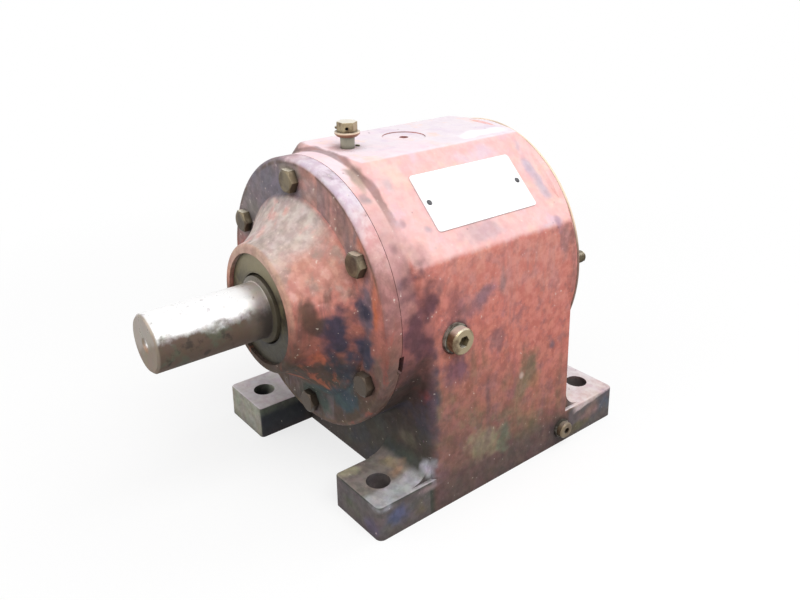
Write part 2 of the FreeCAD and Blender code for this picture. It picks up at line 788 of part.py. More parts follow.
def output_shaft():
    journal = output_front.bore / 2
    rear_journal = output_rear.bore / 2
    bearing_end = output_front.front + output_front.width
    groove_radius, groove = output_groove
    wheel_front = second_stage.face[0]
    shape = turned((0, shaft_tip),
                   [(shaft_radius - shaft_tip_chamfer, shaft_tip),
                    (shaft_radius, shaft_tip + shaft_tip_chamfer), (shaft_radius, boss_face),
                    (journal, boss_face + journal_chamfer), (journal, bearing_end),
                    (middle_radius, bearing_end), (middle_radius, collar_front),
                    (collar_radius, collar_front), (collar_radius, wheel_front),
                    (wheel_seat, wheel_front), (wheel_seat, wheel_seat_end),
                    (rear_journal, wheel_seat_end), (rear_journal, groove), (groove_radius, groove),
                    (groove_radius, groove + groove_width), (rear_journal, groove + groove_width),
                    (rear_journal - shaft_end_chamfer, shaft_end), (0, shaft_end)])
    shape = shape.cut(key_shape(main, wheel_seat + press_gap, wheel_key))
    key_start = shaft_tip + coupling_key_inset
    key_end = key_start + coupling_key_length
    half_width = coupling_key_width / 2
    coupling_key = box(-shaft_radius - 1, coupling_key_depth - shaft_radius, key_start, key_end,
                       axis_height - half_width, axis_height + half_width)
    coupling_key.rotate(at(0, 0, axis_height), along, -coupling_key_angle)
    mark_end = shaft_tip + centre_mark_depth
    centre_mark = turned((0, shaft_tip), [(centre_mark_radius, shaft_tip), (0, mark_end)])
    return shape.cut(coupling_key).cut(centre_mark)


def intermediate_shaft():
    stage = second_stage
    journal = intermediate_front.bore / 2
    bearing_end = intermediate_front.front + intermediate_front.width
    face = (stage.face[0] - pinion_margin, stage.face[1] + pinion_margin)
    pinion = gear(stage, stage.pinion, stage.shift, lay, face, gap_toward_mate(stage.pinion), -1, 6)
    front = turned((0, lay_front_end),
                   [(journal - lay_chamfer, lay_front_end), (journal, lay_front_end + lay_chamfer),
                    (journal, bearing_end), (lay_front_collar, bearing_end),
                    (lay_front_collar, face[0] + 1), (0, face[0] + 1)], lay)
    rear = turned((0, face[1] - 1),
                  [(lay_pinion_neck, face[1] - 1), (lay_pinion_neck, lay_body_from - 2),
                   (lay_body_radius, lay_body_from), (lay_body_radius, lay_seat_from - 1),
                   (lay_seat, lay_seat_from), (lay_seat, lay_seat_to),
                   (lay_rear_body, lay_seat_to + 2), (lay_rear_body, lay_rear_step),
                   (lay_rear_shoulder, lay_rear_step), (lay_rear_shoulder, intermediate_rear.front),
                   (journal, intermediate_rear.front), (journal, lay_rear_end - lay_chamfer),
                   (journal - lay_chamfer, lay_rear_end), (0, lay_rear_end)], lay)
    shape = pinion.fuse(front).fuse(rear).cut(key_shape(lay, lay_seat + press_gap, lay_key))
    for groove in lay_grooves:
        shape = shape.cut(ring(lay_seat + 1, lay_groove_radius, groove, groove + groove_width, lay))
    return shape


def input_shaft():
    stage = first_stage
    journal = input_front.bore / 2
    groove_radius, groove = input_groove
    stem_start = stage.face[0] + 4
    teeth = gear(stage, stage.pinion, stage.shift, main, stage.face, mesh_angle, -1, 3)
    stem = turned((0, stem_start),
                  [(input_collar_radius, stem_start), (input_collar_radius, input_front.front),
                   (journal, input_front.front), (journal, groove), (groove_radius, groove),
                   (groove_radius, groove + groove_width), (journal, groove + groove_width),
                   (journal, input_end), (0, input_end)])
    shape = teeth.fuse(stem).cut(rod(motor_bore, input_end - motor_bore_length, input_end + 1))
    half_width = motor_key_width / 2
    return shape.cut(box(-half_width, half_width, input_end - motor_key_length, input_end + 1,
                         axis_height, axis_height + motor_key_height))


def snap_ring(centre, groove, height, opening):
    groove_radius, start = groove
    start = start + (groove_width - snap_thickness) / 2
    end = start + snap_thickness
    shape = ring(groove_radius + height, groove_radius + press_gap, start, end, centre)
    gap = box(centre[0] - 60, centre[0], start - 1, end + 1, centre[1] - opening, centre[1] + opening)
    return shape.cut(gap)


def intermediate_snap_rings():
    opening = snap_openings["intermediate"]
    rings = []
    for groove in lay_grooves:
        rings.append(snap_ring(lay, (lay_groove_radius, groove), small_snap_height, opening))
    return Part.makeCompound(rings)


def input_hub_ring():
    outer, inner = hub_ring_radii
    start, end = hub_groove
    shape = ring(outer, inner, start + 0.1, end - 0.1)
    opening = snap_openings["output"]
    return shape.cut(box(-60, 0, start - 1, end + 1, axis_height - opening, axis_height + opening))


def bearing(sizes):
    # Deep-groove ball bearing: outer ring, inner ring, and the balls with their cage
    centre = sizes.axis
    end = sizes.front + sizes.width
    middle = (sizes.front + end) / 2
    track = (sizes.bore + sizes.outside) / 4
    ball = 0.15 * (sizes.outside - sizes.bore)
    groove = Part.makeTorus(track, ball + 0.15, at(centre[0], middle, centre[1]), along)
    outer = ring(sizes.outside / 2, track + 0.5 * ball, sizes.front, end, centre).cut(groove)
    inner = ring(track - 0.5 * ball, sizes.bore / 2 + press_gap, sizes.front, end, centre).cut(groove)
    cage = ring(track + 0.22 * ball, track - 0.22 * ball, middle - 1.25 * ball, middle + 1.25 * ball, centre)
    rolling = []
    for number in range(sizes.balls):
        angle = 2 * math.pi * number / sizes.balls
        radial = at(math.cos(angle), 0, math.sin(angle))
        spot = at(centre[0], middle, centre[1]) + radial * track
        rolling.append(Part.makeSphere(ball, spot))
        cage = cage.cut(Part.makeCylinder(ball + 0.2, 2 * ball, spot - radial * ball, radial))
    return outer, inner, Part.makeCompound(rolling + cage.Solids)


def lip_seal(seal, flange_at_front):
    # Flange, outer rim and a lip that runs just clear of the shaft
    start = seal.front if flange_at_front else seal.front + seal.width
    way = 1 if flange_at_front else -1
    end = start + way * seal.width
    flange = start + way * seal_flange
    lip = seal.shaft + running_gap
    return turned((seal.outside, start),
                  [(seal.outside, end), (seal.outside - seal_rim, end), (seal.outside - seal_rim, flange),
                   (seal.shaft + 3.5, flange), (lip, start + way * 2.2 * seal_flange),
                   (lip, start + way * 1.4 * seal_flange), (seal.shaft + 2.0, start)])


def breather_stem():
    top = top_height + breather_stem_height
    stem = upright(breather_thread, 0, breather_y, top_height - breather_thread_length, top)
    stem = stem.fuse(upright(breather_stem_radius, 0, breather_y, top_height, top))
    return stem.cut(upright(breather_vent, 0, breather_y, top_height - breather_thread_length - 1, top + 1))


def breather_collar():
    bottom = top_height + breather_stem_height
    top = bottom + breather_collar_height
    half = breather_collar_height / 2
    collar = Part.makeCone(breather_collar_foot, breather_collar_radius, half, at(0, breather_y, bottom), up)
    return collar.fuse(upright(breather_collar_radius, 0, breather_y, bottom + half, top))


def breather_cap():
    bottom = top_height + breather_stem_height + breather_collar_height
    straight = breather_cap_height - breather_crown_height + 1
    corner = breather_cap_flats / math.sqrt(3)
    cap = hexagon(corner, at(0, breather_y, bottom), across, along, up * breather_cap_height)
    crown = Part.makeCone(breather_cap_corner, breather_crown_radius, breather_crown_height,
                          at(0, breather_y, bottom + straight), up)
    cap = cap.common(crown.fuse(upright(breather_cap_corner, 0, breather_y, bottom, bottom + straight)))
    outlet = at(0, breather_y, bottom + straight - 1)
    return cap.cut(Part.makeCylinder(breather_outlet, breather_cap_flats, outlet, at(0.8, -0.6, 0)))


def side_plug(plug):
    face = plug_face(plug)
    head_from = face + across * plug.washer
    head = Part.makeCylinder(plug.head, plug.head_height, head_from, across)
    outer_edge = face.x + plug.washer + plug.head_height
    outer_edges = [edge for edge in head.Edges if edge.CenterOfMass.x > outer_edge - 0.1]
    head = head.makeChamfer(plug_chamfer, outer_edges)
    shank = Part.makeCylinder(plug.thread, plug_length + plug.washer, face - across * plug_length, across)
    socket = at(outer_edge - plug_socket_depth, plug.y, plug.height)
    return head.fuse(shank).cut(hexagon(plug.socket, socket, along, up, across * (plug_socket_depth + 1)))


def plug_washer(plug):
    face = plug_face(plug)
    disc = Part.makeCylinder(plug.washer_radius, plug.washer - 0.04, face + across * 0.02, across)
    return disc.cut(Part.makeCylinder(plug.thread + press_gap, 20, face - across * 5, across))


slope_run = shoulder_half_width - top_half_width
slope_drop = top_height - shoulder_height
slope_length = math.hypot(slope_run, slope_drop)
slope_down = at(slope_run / slope_length, 0, -slope_drop / slope_length)
slope_out = at(slope_drop / slope_length, 0, slope_run / slope_length)


def on_slope(distance, y, lift):
    return at(top_half_width, y, top_height) + slope_down * distance + slope_out * lift


def nameplate():
    corners = [on_slope(plate_high, plate_from, plate_lift), on_slope(plate_low, plate_from, plate_lift),
               on_slope(plate_low, plate_to, plate_lift), on_slope(plate_high, plate_to, plate_lift)]
    plate = Part.Face(Part.makePolygon(corners + corners[:1])).extrude(slope_out * plate_thickness)
    plate = rounded(plate, plate_corner, lambda m, e: e.Length < 2 * plate_thickness)
    for y in rivet_places:
        plate = plate.cut(Part.makeCylinder(rivet_radius + 0.05, 8, on_slope(rivet_height, y, -4), slope_out))
    return plate


def nameplate_rivets():
    pins = []
    for y in rivet_places:
        foot_point = on_slope(rivet_height, y, 0.02)
        shank = Part.makeCylinder(rivet_radius, plate_thickness + 0.05, foot_point, slope_out)
        head = Part.makeCone(rivet_head_radius, rivet_crown_radius, rivet_head_height,
                             on_slope(rivet_height, y, plate_thickness + 0.07), slope_out)
        pins.append(shank.fuse(head))
    return Part.makeCompound(pins)


pieces = {
    "housing": housing(),
    "front_left_foot": foot_lug(-1, -1),
    "front_right_foot": foot_lug(1, -1),
    "rear_left_foot": foot_lug(-1, 1),
    "rear_right_foot": foot_lug(1, 1),
    "lifting_insert": lifting_insert(),
    "output_cover": output_cover(),
    "cover_gasket": cover_gasket(),
    "cover_bolts": cover_bolts(),
    "motor_flange": motor_flange(),
    "flange_gasket": flange_gasket(),
    "motor_studs": motor_studs(),
    "flange_screws": flange_screws(),
    "output_shaft": output_shaft(),
    "output_wheel": output_wheel(),
    "output_wheel_key": key_with_play(main, wheel_seat, wheel_key),
    "output_spacer": ring(middle_radius, output_rear.bore / 2 + press_gap, second_stage.face[1],
                          output_rear.front),
    "output_snap_ring": snap_ring(main, output_groove, output_snap_height, snap_openings["output"]),
    "output_seal": lip_seal(output_seal, True),
    "intermediate_shaft": intermediate_shaft(),
    "intermediate_wheel": intermediate_wheel(),
    "intermediate_key": key_with_play(lay, lay_seat, lay_key),
    "intermediate_snap_rings": intermediate_snap_rings(),
    "input_shaft": input_shaft(),
    "input_spacer": ring(input_spacer_radius, input_front.bore / 2 + press_gap,
                         input_front.front + input_front.width, input_rear.front),
    "input_snap_ring": snap_ring(main, input_groove, small_snap_height, snap_openings["input"]),
    "input_hub_ring": input_hub_ring(),
    "input_seal": lip_seal(input_seal, False),
    "breather_stem": breather_stem(),
    "breather_collar": breather_collar(),
    "breather_cap": breather_cap(),
    "level_plug": side_plug(level_plug),
    "level_plug_washer": plug_washer(level_plug),
    "drain_plug": side_plug(drain_plug),
    "drain_plug_washer": plug_washer(drain_plug),
    "nameplate": nameplate(),
    "nameplate_rivets": nameplate_rivets(),
}
bearings = {
    "output_front_bearing": output_front,
    "output_rear_bearing": output_rear,
    "intermediate_front_bearing": intermediate_front,
    "intermediate_rear_bearing": intermediate_rear,
    "input_front_bearing": input_front,
    "input_rear_bearing": input_rear,
}
for name, sizes in bearings.items():
    outer, inner, rolling = bearing(sizes)
    pieces[name + "_outer_ring"] = outer
    pieces[name + "_inner_ring"] = inner
    pieces[name + "_balls"] = rolling

os.makedirs("parts", exist_ok=True)
for name, shape in pieces.items():
    shape.exportStep("parts/" + name + ".step")
    print(name, len(shape.Solids), "solids", round(shape.Volume / 1000.0, 2), "cm3", shape.isValid())
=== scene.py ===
import math

import bmesh
import bpy
from mathutils import Matrix, Vector


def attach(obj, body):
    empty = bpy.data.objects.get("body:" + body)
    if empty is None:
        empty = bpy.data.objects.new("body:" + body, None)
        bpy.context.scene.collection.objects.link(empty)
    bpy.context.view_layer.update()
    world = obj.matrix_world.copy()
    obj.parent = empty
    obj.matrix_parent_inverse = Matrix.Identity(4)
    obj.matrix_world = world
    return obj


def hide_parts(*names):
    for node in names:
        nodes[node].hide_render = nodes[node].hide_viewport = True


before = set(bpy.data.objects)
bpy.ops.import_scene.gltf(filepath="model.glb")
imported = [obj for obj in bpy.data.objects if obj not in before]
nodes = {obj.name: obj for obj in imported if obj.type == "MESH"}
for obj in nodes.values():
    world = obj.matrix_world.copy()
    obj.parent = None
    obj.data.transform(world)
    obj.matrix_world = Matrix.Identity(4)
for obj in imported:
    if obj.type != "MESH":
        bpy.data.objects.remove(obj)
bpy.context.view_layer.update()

scene = bpy.context.scene
scene.view_settings.view_transform = "Standard"
axisHeight = 0.18                                  # of the shafts over the feet, in metres
print("frame loaded:", len(nodes), "nodes")


# camera: the photograph's viewpoint, in metres and degrees
viewpoint = {
    "target": (0.0202, -0.04505, 0.1552),
    "azimuth": 51.2,
    "elevation": 24.7,
    "roll": -0.3,
    "distance": 0.738,
    "lens": 34.67,
    "sensor": 36.0,
    "clip": (0.01, 50),
}


def makeCamera(look):
    azimuth = math.radians(look["azimuth"])
    elevation = math.radians(look["elevation"])
    roll = math.radians(look["roll"])
    back = Vector((math.sin(azimuth) * math.cos(elevation), -math.cos(azimuth) * math.cos(elevation),
                   math.sin(elevation)))
    level = Vector((math.cos(azimuth), math.sin(azimuth), 0))
    rise = back.cross(level)
    right = level * math.cos(roll) + rise * math.sin(roll)
    top = rise * math.cos(roll) - level * math.sin(roll)
    lens = bpy.data.cameras.new("camera")
    lens.lens = look["lens"]
    lens.sensor_width = look["sensor"]
    lens.sensor_fit = "HORIZONTAL"
    lens.clip_start, lens.clip_end = look["clip"]
    camera = bpy.data.objects.new("camera", lens)
    scene.collection.objects.link(camera)
    turn = Matrix((right, top, back)).transposed().to_4x4()
    camera.matrix_world = Matrix.Translation(Vector(look["target"]) + back * look["distance"]) @ turn
    scene.camera = camera


makeCamera(viewpoint)
print("camera set")


# shader wiring: a Wire is one socket, and sums on it add Math nodes
class Wire:
    def __init__(self, finish, socket):
        self.finish = finish
        self.socket = socket

    def math(self, operation, first, second):
        return self.finish.node("Math", {"operation": operation}, {0: first, 1: second})

    def __add__(self, other):
        return self.math("ADD", self, other)

    def __radd__(self, other):
        return self.math("ADD", other, self)

    def __sub__(self, other):
        return self.math("SUBTRACT", self, other)

    def __rsub__(self, other):
        return self.math("SUBTRACT", other, self)

    def __mul__(self, other):
        return self.math("MULTIPLY", self, other)

    def __rmul__(self, other):
        return self.math("MULTIPLY", other, self)

    def __truediv__(self, other):
        return self.math("DIVIDE", self, other)

    def __rtruediv__(self, other):
        return self.math("DIVIDE", other, self)

    def __pow__(self, other):
        return self.math("POWER", self, other)


class Wiring:
    def __init__(self, tree):
        self.tree = tree

    def plug(self, socket, value):
        if isinstance(value, Wire):
            self.tree.links.new(value.socket, socket)
        elif socket.type == "RGBA":
            socket.default_value = (*value[:3], 1.0)
        else:
            socket.default_value = value

    def node(self, kind, settings=None, sockets=None, out=0):
        made = self.tree.nodes.new("ShaderNode" + kind)
        for key, value in (settings or {}).items():
            setattr(made, key, value)
        for key, value in (sockets or {}).items():
            self.plug(made.inputs[key], value)
        return Wire(self, made.outputs[out])

    def seenRays(self):                            # rays that show the backdrop: straight, mirrored, through glass
        rays = self.node("LightPath").socket.node.outputs
        return [Wire(self, rays["Is " + name + " Ray"]) for name in ("Camera", "Glossy", "Transmission")]


class Finish(Wiring):
    def __init__(self, name, fixed=None):
        self.material = bpy.data.materials.new(name)
        self.material.use_nodes = True
        super().__init__(self.material.node_tree)
        self.shader = self.tree.nodes["Principled BSDF"]
        self.places = self.node("TexCoord", out="Object")
        self.x, self.y, self.z = self.axes(self.places)
        for socket, value in (fixed or {}).items():
            self.plug(self.shader.inputs[socket], value)

    def axes(self, vector):
        parts = self.node("SeparateXYZ", sockets={0: vector})
        return [Wire(self, socket) for socket in parts.socket.node.outputs]

    def facing(self):                              # the surface's direction in the part's own axes
        return self.axes(self.node("TexCoord", out="Normal"))

    def fromAxis(self):                            # distance from the axis of the output and input shafts
        height = self.z - axisHeight
        return (self.x * self.x + height * height) ** 0.5

    def stretched(self, scale):
        return self.node("VectorMath", {"operation": "MULTIPLY"}, {0: self.places, 1: scale})

    def noise(self, scale, detail=4.0, rough=0.55, where=None, swirl=0.0, out=0):
        return self.node("TexNoise", sockets={"Vector": where or self.places, "Scale": scale, "Detail": detail,
                                              "Roughness": rough, "Distortion": swirl}, out=out)

    def step(self, value, low, high):              # smooth 0 to 1 as value goes from low to high
        return self.node("MapRange", {"interpolation_type": "SMOOTHSTEP"}, {0: value, 1: low, 2: high})

    def mix(self, first, second, share, way="MIX"):
        return self.node("Mix", {"data_type": "RGBA", "blend_type": way}, {0: share, 6: first, 7: second}, out=2)

    def spot(self, centre, reach, ragged=0.0, soft=0.9):     # 1 inside a ragged patch round a point
        away = self.node("VectorMath", {"operation": "SUBTRACT"}, {0: self.places, 1: centre})
        sized = self.node("VectorMath", {"operation": "DIVIDE"}, {0: away, 1: reach})
        length = self.node("VectorMath", {"operation": "LENGTH"}, {0: sized}, out="Value")
        return self.step(length + ragged, 1.0, 1.0 - soft)

    def colourPatches(self, colour, marks, ragged):
        for mark in marks:
            patch = self.spot(mark["at"], mark["reach"], ragged, mark["soft"])
            colour = self.mix(colour, mark["colour"], patch * mark["share"])
        return colour

    def mottle(self, colour, scale, share, strong=1.0):      # small drifts of hue
        cloud = self.noise(scale, 3.0, 0.6, out="Color")
        cloud = self.node("HueSaturation", sockets={"Saturation": strong, "Color": cloud})
        return self.mix(colour, cloud, share, "OVERLAY")

    def blotch(self, colour, scale, share):        # small darker and paler patches
        cloud = self.step(self.noise(scale, 4.0, 0.6), 0.36, 0.64)
        return self.mix(colour, cloud, share, "OVERLAY")

    def cornerDirtAndShade(self, colour, dirtAndShade, reach, share, low=0.4, high=0.85):      # dirt in hollows and joints, with painted shade there from ambient occlusion
        outside = self.node("AmbientOcclusion", {"samples": 6}, {"Distance": reach}, out="AO")
        return self.mix(colour, dirtAndShade, self.step(outside, high, low) * share)

    def paint(self, colour=None, roughness=None, metallic=None, heights=(), rounding=0.0):
        for socket, value in (("Base Color", colour), ("Roughness", roughness), ("Metallic", metallic)):
            if value is not None:
                self.plug(self.shader.inputs[socket], value)
        normal = self.node("Bevel", {"samples": 4}, {"Radius": rounding}) if rounding else None
        for height, distance, strength in heights:
            sockets = {"Height": height, "Distance": distance, "Strength": strength}
            if normal is not None:
                sockets["Normal"] = normal
            normal = self.node("Bump", sockets=sockets)
        if normal is not None:
            self.plug(self.shader.inputs["Normal"], normal)
        return self.material


def tint(red, green, blue):                        # a colour as it looks on the screen
    return tuple(part / 12.92 if part < 0.04045 else ((part + 0.055) / 1.055) ** 2.4 for part in (red, green, blue))


def colourPatch(at, reach, colour, share, soft=0.9):     # place, half sizes, colour, cover and soft edge
    return {"at": at, "reach": reach, "colour": tint(*colour), "share": share, "soft": soft}


# worn red paint on the castings
redPaint = {
    "red": tint(0.82, 0.50, 0.45),
    "deepRed": tint(0.66, 0.36, 0.32),
    "orange": tint(0.86, 0.53, 0.42),
    "plum": tint(0.58, 0.42, 0.44),
    "faded": tint(0.93, 0.66, 0.61),
    "ochre": tint(0.60, 0.42, 0.31),
    "pinkDustAndSheen": tint(0.95, 0.77, 0.76),
    "greyDustAndSheen": tint(0.91, 0.89, 0.92),
    "oilAndShade": tint(0.18, 0.16, 0.14),
    "greenBlack": tint(0.22, 0.25, 0.22),
    "brownGrimeAndShade": tint(0.43, 0.34, 0.31),
    "navy": tint(0.25, 0.24, 0.35),
    "olive": tint(0.46, 0.44, 0.34),
    "bareIron": tint(0.90, 0.86, 0.87),
}
housingMarks = [                                   # on the nameplate side
    colourPatch((0.12, -0.046, 0.189), (0.05, 0.030, 0.022), (0.55, 0.41, 0.44), 0.75),
    colourPatch((0.12, -0.034, 0.198), (0.05, 0.018, 0.012), (0.57, 0.43, 0.47), 0.75),
    colourPatch((0.12, -0.013, 0.200), (0.05, 0.006, 0.022), (0.62, 0.49, 0.49), 0.75),
    colourPatch((0.12, -0.018, 0.140), (0.05, 0.010, 0.018), (0.56, 0.41, 0.42), 0.7),
    colourPatch((0.12, 0.055, 0.117), (0.05, 0.006, 0.007), (0.50, 0.40, 0.44), 0.8),
    colourPatch((0.12, 0.068, 0.214), (0.05, 0.007, 0.024), (0.62, 0.48, 0.49), 0.6),
    colourPatch((0.12, 0.026, 0.106), (0.05, 0.016, 0.026), (0.47, 0.42, 0.33), 0.8),
    colourPatch((0.12, 0.012, 0.088), (0.05, 0.014, 0.018), (0.50, 0.45, 0.36), 0.75),
    colourPatch((0.12, 0.013, 0.099), (0.05, 0.004, 0.004), (0.86, 0.78, 0.72), 0.8),
    colourPatch((0.12, -0.034, 0.048), (0.05, 0.022, 0.020), (0.58, 0.54, 0.44), 0.7),
    colourPatch((0.12, -0.008, 0.043), (0.05, 0.012, 0.014), (0.42, 0.46, 0.38), 0.7),
    colourPatch((0.12, -0.072, 0.134), (0.05, 0.020, 0.020), (0.42, 0.30, 0.36), 0.75),
    colourPatch((0.12, -0.030, 0.085), (0.05, 0.006, 0.040), (0.42, 0.31, 0.33), 0.6),
    colourPatch((0.12, 0.040, 0.070), (0.05, 0.020, 0.030), (0.70, 0.46, 0.36), 0.5),
    # painted shade along the front edge of the side, where it meets the neck
    colourPatch((0.122, -0.096, 0.110), (0.03, 0.012, 0.085), (0.26, 0.26, 0.32), 0.85),
    colourPatch((0.123, -0.097, 0.176), (0.03, 0.014, 0.034), (0.42, 0.28, 0.32), 0.8),
    colourPatch((0.124, -0.074, 0.196), (0.03, 0.014, 0.022), (0.58, 0.37, 0.36), 0.7),
    colourPatch((0.122, 0.079, 0.200), (0.03, 0.006, 0.060), (0.60, 0.42, 0.40), 0.6),
    colourPatch((0.13, -0.07, 0.165), (0.03, 0.022, 0.022), (0.40, 0.29, 0.29), 0.65),
    colourPatch((0.135, 0.074, 0.015), (0.03, 0.022, 0.020), (0.22, 0.21, 0.20), 0.8),
]
shoulderMarks = [                                  # on the slope and the top
    colourPatch((0.110, -0.028, 0.246), (0.014, 0.034, 0.014), (0.78, 0.66, 0.68), 0.75),
    colourPatch((0.060, 0.020, 0.296), (0.012, 0.035, 0.012), (0.86, 0.80, 0.86), 0.6),
    colourPatch((0.085, 0.064, 0.270), (0.035, 0.009, 0.035), (0.74, 0.68, 0.74), 0.8),
    colourPatch((0.116, 0.060, 0.238), (0.008, 0.007, 0.010), (0.66, 0.55, 0.62), 0.8),
    colourPatch((0.066, -0.093, 0.288), (0.012, 0.009, 0.010), (0.80, 0.72, 0.74), 0.7),
    colourPatch((0.100, -0.080, 0.257), (0.005, 0.006, 0.005), (0.74, 0.66, 0.70), 0.8),
    colourPatch((0.112, -0.082, 0.244), (0.005, 0.006, 0.005), (0.74, 0.66, 0.70), 0.8),
    colourPatch((0.092, -0.099, 0.262), (0.004, 0.005, 0.006), (0.70, 0.56, 0.58), 0.8),
    # a painted highlight along the top's edge
    colourPatch((0.030, 0.046, 0.305), (0.014, 0.045, 0.006), (1.0, 0.99, 1.0), 0.9),
    colourPatch((0.000, -0.088, 0.305), (0.018, 0.014, 0.006), (0.90, 0.72, 0.72), 0.8),
    colourPatch((-0.045, -0.108, 0.300), (0.018, 0.010, 0.020), (0.46, 0.44, 0.43), 0.85),
]
neckMarks = [                                      # on the neck behind the cover
    colourPatch((0.114, -0.102, 0.246), (0.018, 0.018, 0.026), (0.70, 0.52, 0.51), 0.7),
    colourPatch((0.050, -0.114, 0.293), (0.032, 0.008, 0.020), (0.66, 0.58, 0.53), 0.85),
    colourPatch((0.072, -0.118, 0.281), (0.013, 0.012, 0.006), (0.64, 0.58, 0.60), 0.85),
    colourPatch((0.103, -0.117, 0.249), (0.006, 0.006, 0.009), (0.66, 0.50, 0.51), 0.85),
    colourPatch((0.112, -0.122, 0.222), (0.008, 0.006, 0.008), (0.62, 0.48, 0.50), 0.8),
    # painted shade with grime on the neck's right side, low down
    colourPatch((0.118, -0.108, 0.190), (0.026, 0.022, 0.060), (0.36, 0.23, 0.27), 0.85, soft=0.7),
    colourPatch((0.118, -0.104, 0.118), (0.012, 0.009, 0.022), (0.52, 0.24, 0.22), 0.7),
    colourPatch((0.060, -0.100, 0.060), (0.030, 0.020, 0.014), (0.38, 0.40, 0.38), 0.5),
    colourPatch((0.095, -0.100, 0.060), (0.020, 0.020, 0.012), (0.46, 0.43, 0.37), 0.5),
]
footMarks = [                                      # on the two feet of the nameplate side
    colourPatch((0.101, -0.112, 0.036), (0.008, 0.018, 0.012), (0.60, 0.46, 0.38), 0.7),
    colourPatch((0.085, -0.112, 0.038), (0.016, 0.008, 0.010), (0.56, 0.50, 0.39), 0.7),
    colourPatch((0.072, -0.150, 0.034), (0.010, 0.012, 0.006), (0.66, 0.62, 0.52), 0.8),
    colourPatch((0.126, -0.099, 0.042), (0.020, 0.012, 0.014), (0.72, 0.71, 0.74), 0.8),
    colourPatch((0.131, -0.104, 0.029), (0.008, 0.014, 0.006), (0.62, 0.55, 0.55), 0.7),
    colourPatch((0.122, -0.159, 0.031), (0.016, 0.008, 0.007), (0.68, 0.66, 0.68), 0.8),
    colourPatch((0.131, -0.150, 0.031), (0.008, 0.014, 0.006), (0.64, 0.63, 0.67), 0.8),
    colourPatch((0.133, -0.140, 0.018), (0.010, 0.022, 0.014), (0.32, 0.35, 0.47), 0.75),
    colourPatch((0.133, -0.112, 0.012), (0.010, 0.014, 0.012), (0.40, 0.36, 0.26), 0.7),
    colourPatch((0.090, -0.159, 0.016), (0.014, 0.010, 0.012), (0.34, 0.36, 0.26), 0.7),
    colourPatch((0.122, -0.159, 0.014), (0.012, 0.010, 0.014), (0.36, 0.33, 0.42), 0.7),
    colourPatch((0.133, 0.148, 0.020), (0.020, 0.018, 0.020), (0.29, 0.36, 0.44), 0.85),
    colourPatch((0.133, 0.118, 0.018), (0.020, 0.022, 0.014), (0.58, 0.47, 0.44), 0.8),
    colourPatch((0.133, 0.106, 0.008), (0.020, 0.024, 0.009), (0.38, 0.36, 0.24), 0.7),
]


def paintGround(finish, coats):                    # faded red with plum and orange clouds, before any grime
    broad = finish.noise(9.0, 6.0, 0.6)
    middle = finish.noise(38.0, 7.0, 0.62, swirl=0.4)
    fine = finish.noise(190.0, 5.0, 0.6)
    drips = finish.noise(1.0, 6.0, 0.65, finish.stretched((70.0, 70.0, 9.0)))
    colour = finish.mix(coats["red"], coats["deepRed"], finish.step(middle, 0.5, 0.74) * 0.6)
    colour = finish.mix(colour, coats["orange"], finish.step(broad, 0.5, 0.66) * 0.6)
    colour = finish.mix(colour, coats["plum"], finish.step(drips, 0.52, 0.68) * 0.5)
    colour = finish.mix(colour, coats["faded"], finish.step(fine + (middle - 0.5) * 0.5, 0.6, 0.76) * 0.4)
    ragged = (finish.noise(42.0, 2.0, 0.5) - 0.5) * 2.6 + (fine - 0.5) * 0.4
    return colour, middle, fine, ragged, broad, drips


def wearAndCornerShade(finish, colour, look):                    # specks, chips, and dirt with painted shade in corners
    pits = finish.node("TexVoronoi", {"feature": "F1"}, {"Vector": finish.places, "Scale": 110.0})
    specks = finish.step(pits, 0.17, 0.06) * finish.step(finish.noise(31.0, 3.0), *look["speckRange"])
    colour = finish.mix(colour, look["speck"], specks * look["speckShare"])
    chips = finish.step(finish.noise(240.0, 3.0, 0.5), *look["chipRange"])
    colour = finish.mix(colour, look["chip"], chips * look["chipShare"])
    return finish.cornerDirtAndShade(colour, look["corner"], look["cornerReach"], look["cornerShare"], 0.5, 0.88)


housingLook = {
    "footGrimeAndShade": tint(0.31, 0.26, 0.26),
    "neckRed": tint(0.60, 0.38, 0.37),
    "topPink": tint(0.98, 0.88, 0.91),
    "slopeLilac": tint(0.86, 0.79, 0.86),
    "slopeWarm": tint(0.99, 0.82, 0.74),
    "neckShade": tint(0.66, 0.48, 0.47),
    "neckPale": tint(0.86, 0.68, 0.67),
    "seamShade": tint(0.44, 0.34, 0.33),
    "farSideShade": tint(0.44, 0.41, 0.41),
    "nearFootTopShade": tint(0.46, 0.42, 0.39),
    "nearFootStrip": tint(0.68, 0.67, 0.68),
    "nearFootOlive": tint(0.45, 0.42, 0.36),
    "footSide": tint(0.38, 0.35, 0.35),
    "footDust": tint(0.86, 0.78, 0.77),
    "farFootFront": tint(0.66, 0.65, 0.60),
    "farFootInsideShadow": tint(0.12, 0.14, 0.17),
    "farFootEdge": tint(0.44, 0.46, 0.41),
    "frontWall": (-0.09, -0.101),                  # limits of the places, each from none to full
    "neckFrom": (-0.106, -0.112),
    "neckEdge": (0.1275, 0.1245),
    "seamBack": (-0.1025, -0.1055),
    "seamFront": (-0.1125, -0.1100),
    "seamInside": (0.1215, 0.1235),
    "seamOutside": (0.1285, 0.1260),
    "seamUp": (0.25, 0.28),
    "speck": tint(0.50, 0.40, 0.44),
    "speckRange": (0.55, 0.63),
    "speckShare": 0.55,
    "chip": tint(0.93, 0.88, 0.84),
    "chipRange": (0.70, 0.76),
    "chipShare": 0.45,
    "corner": tint(0.25, 0.20, 0.19),
    "cornerReach": 0.016,
    "cornerShare": 0.5,
}


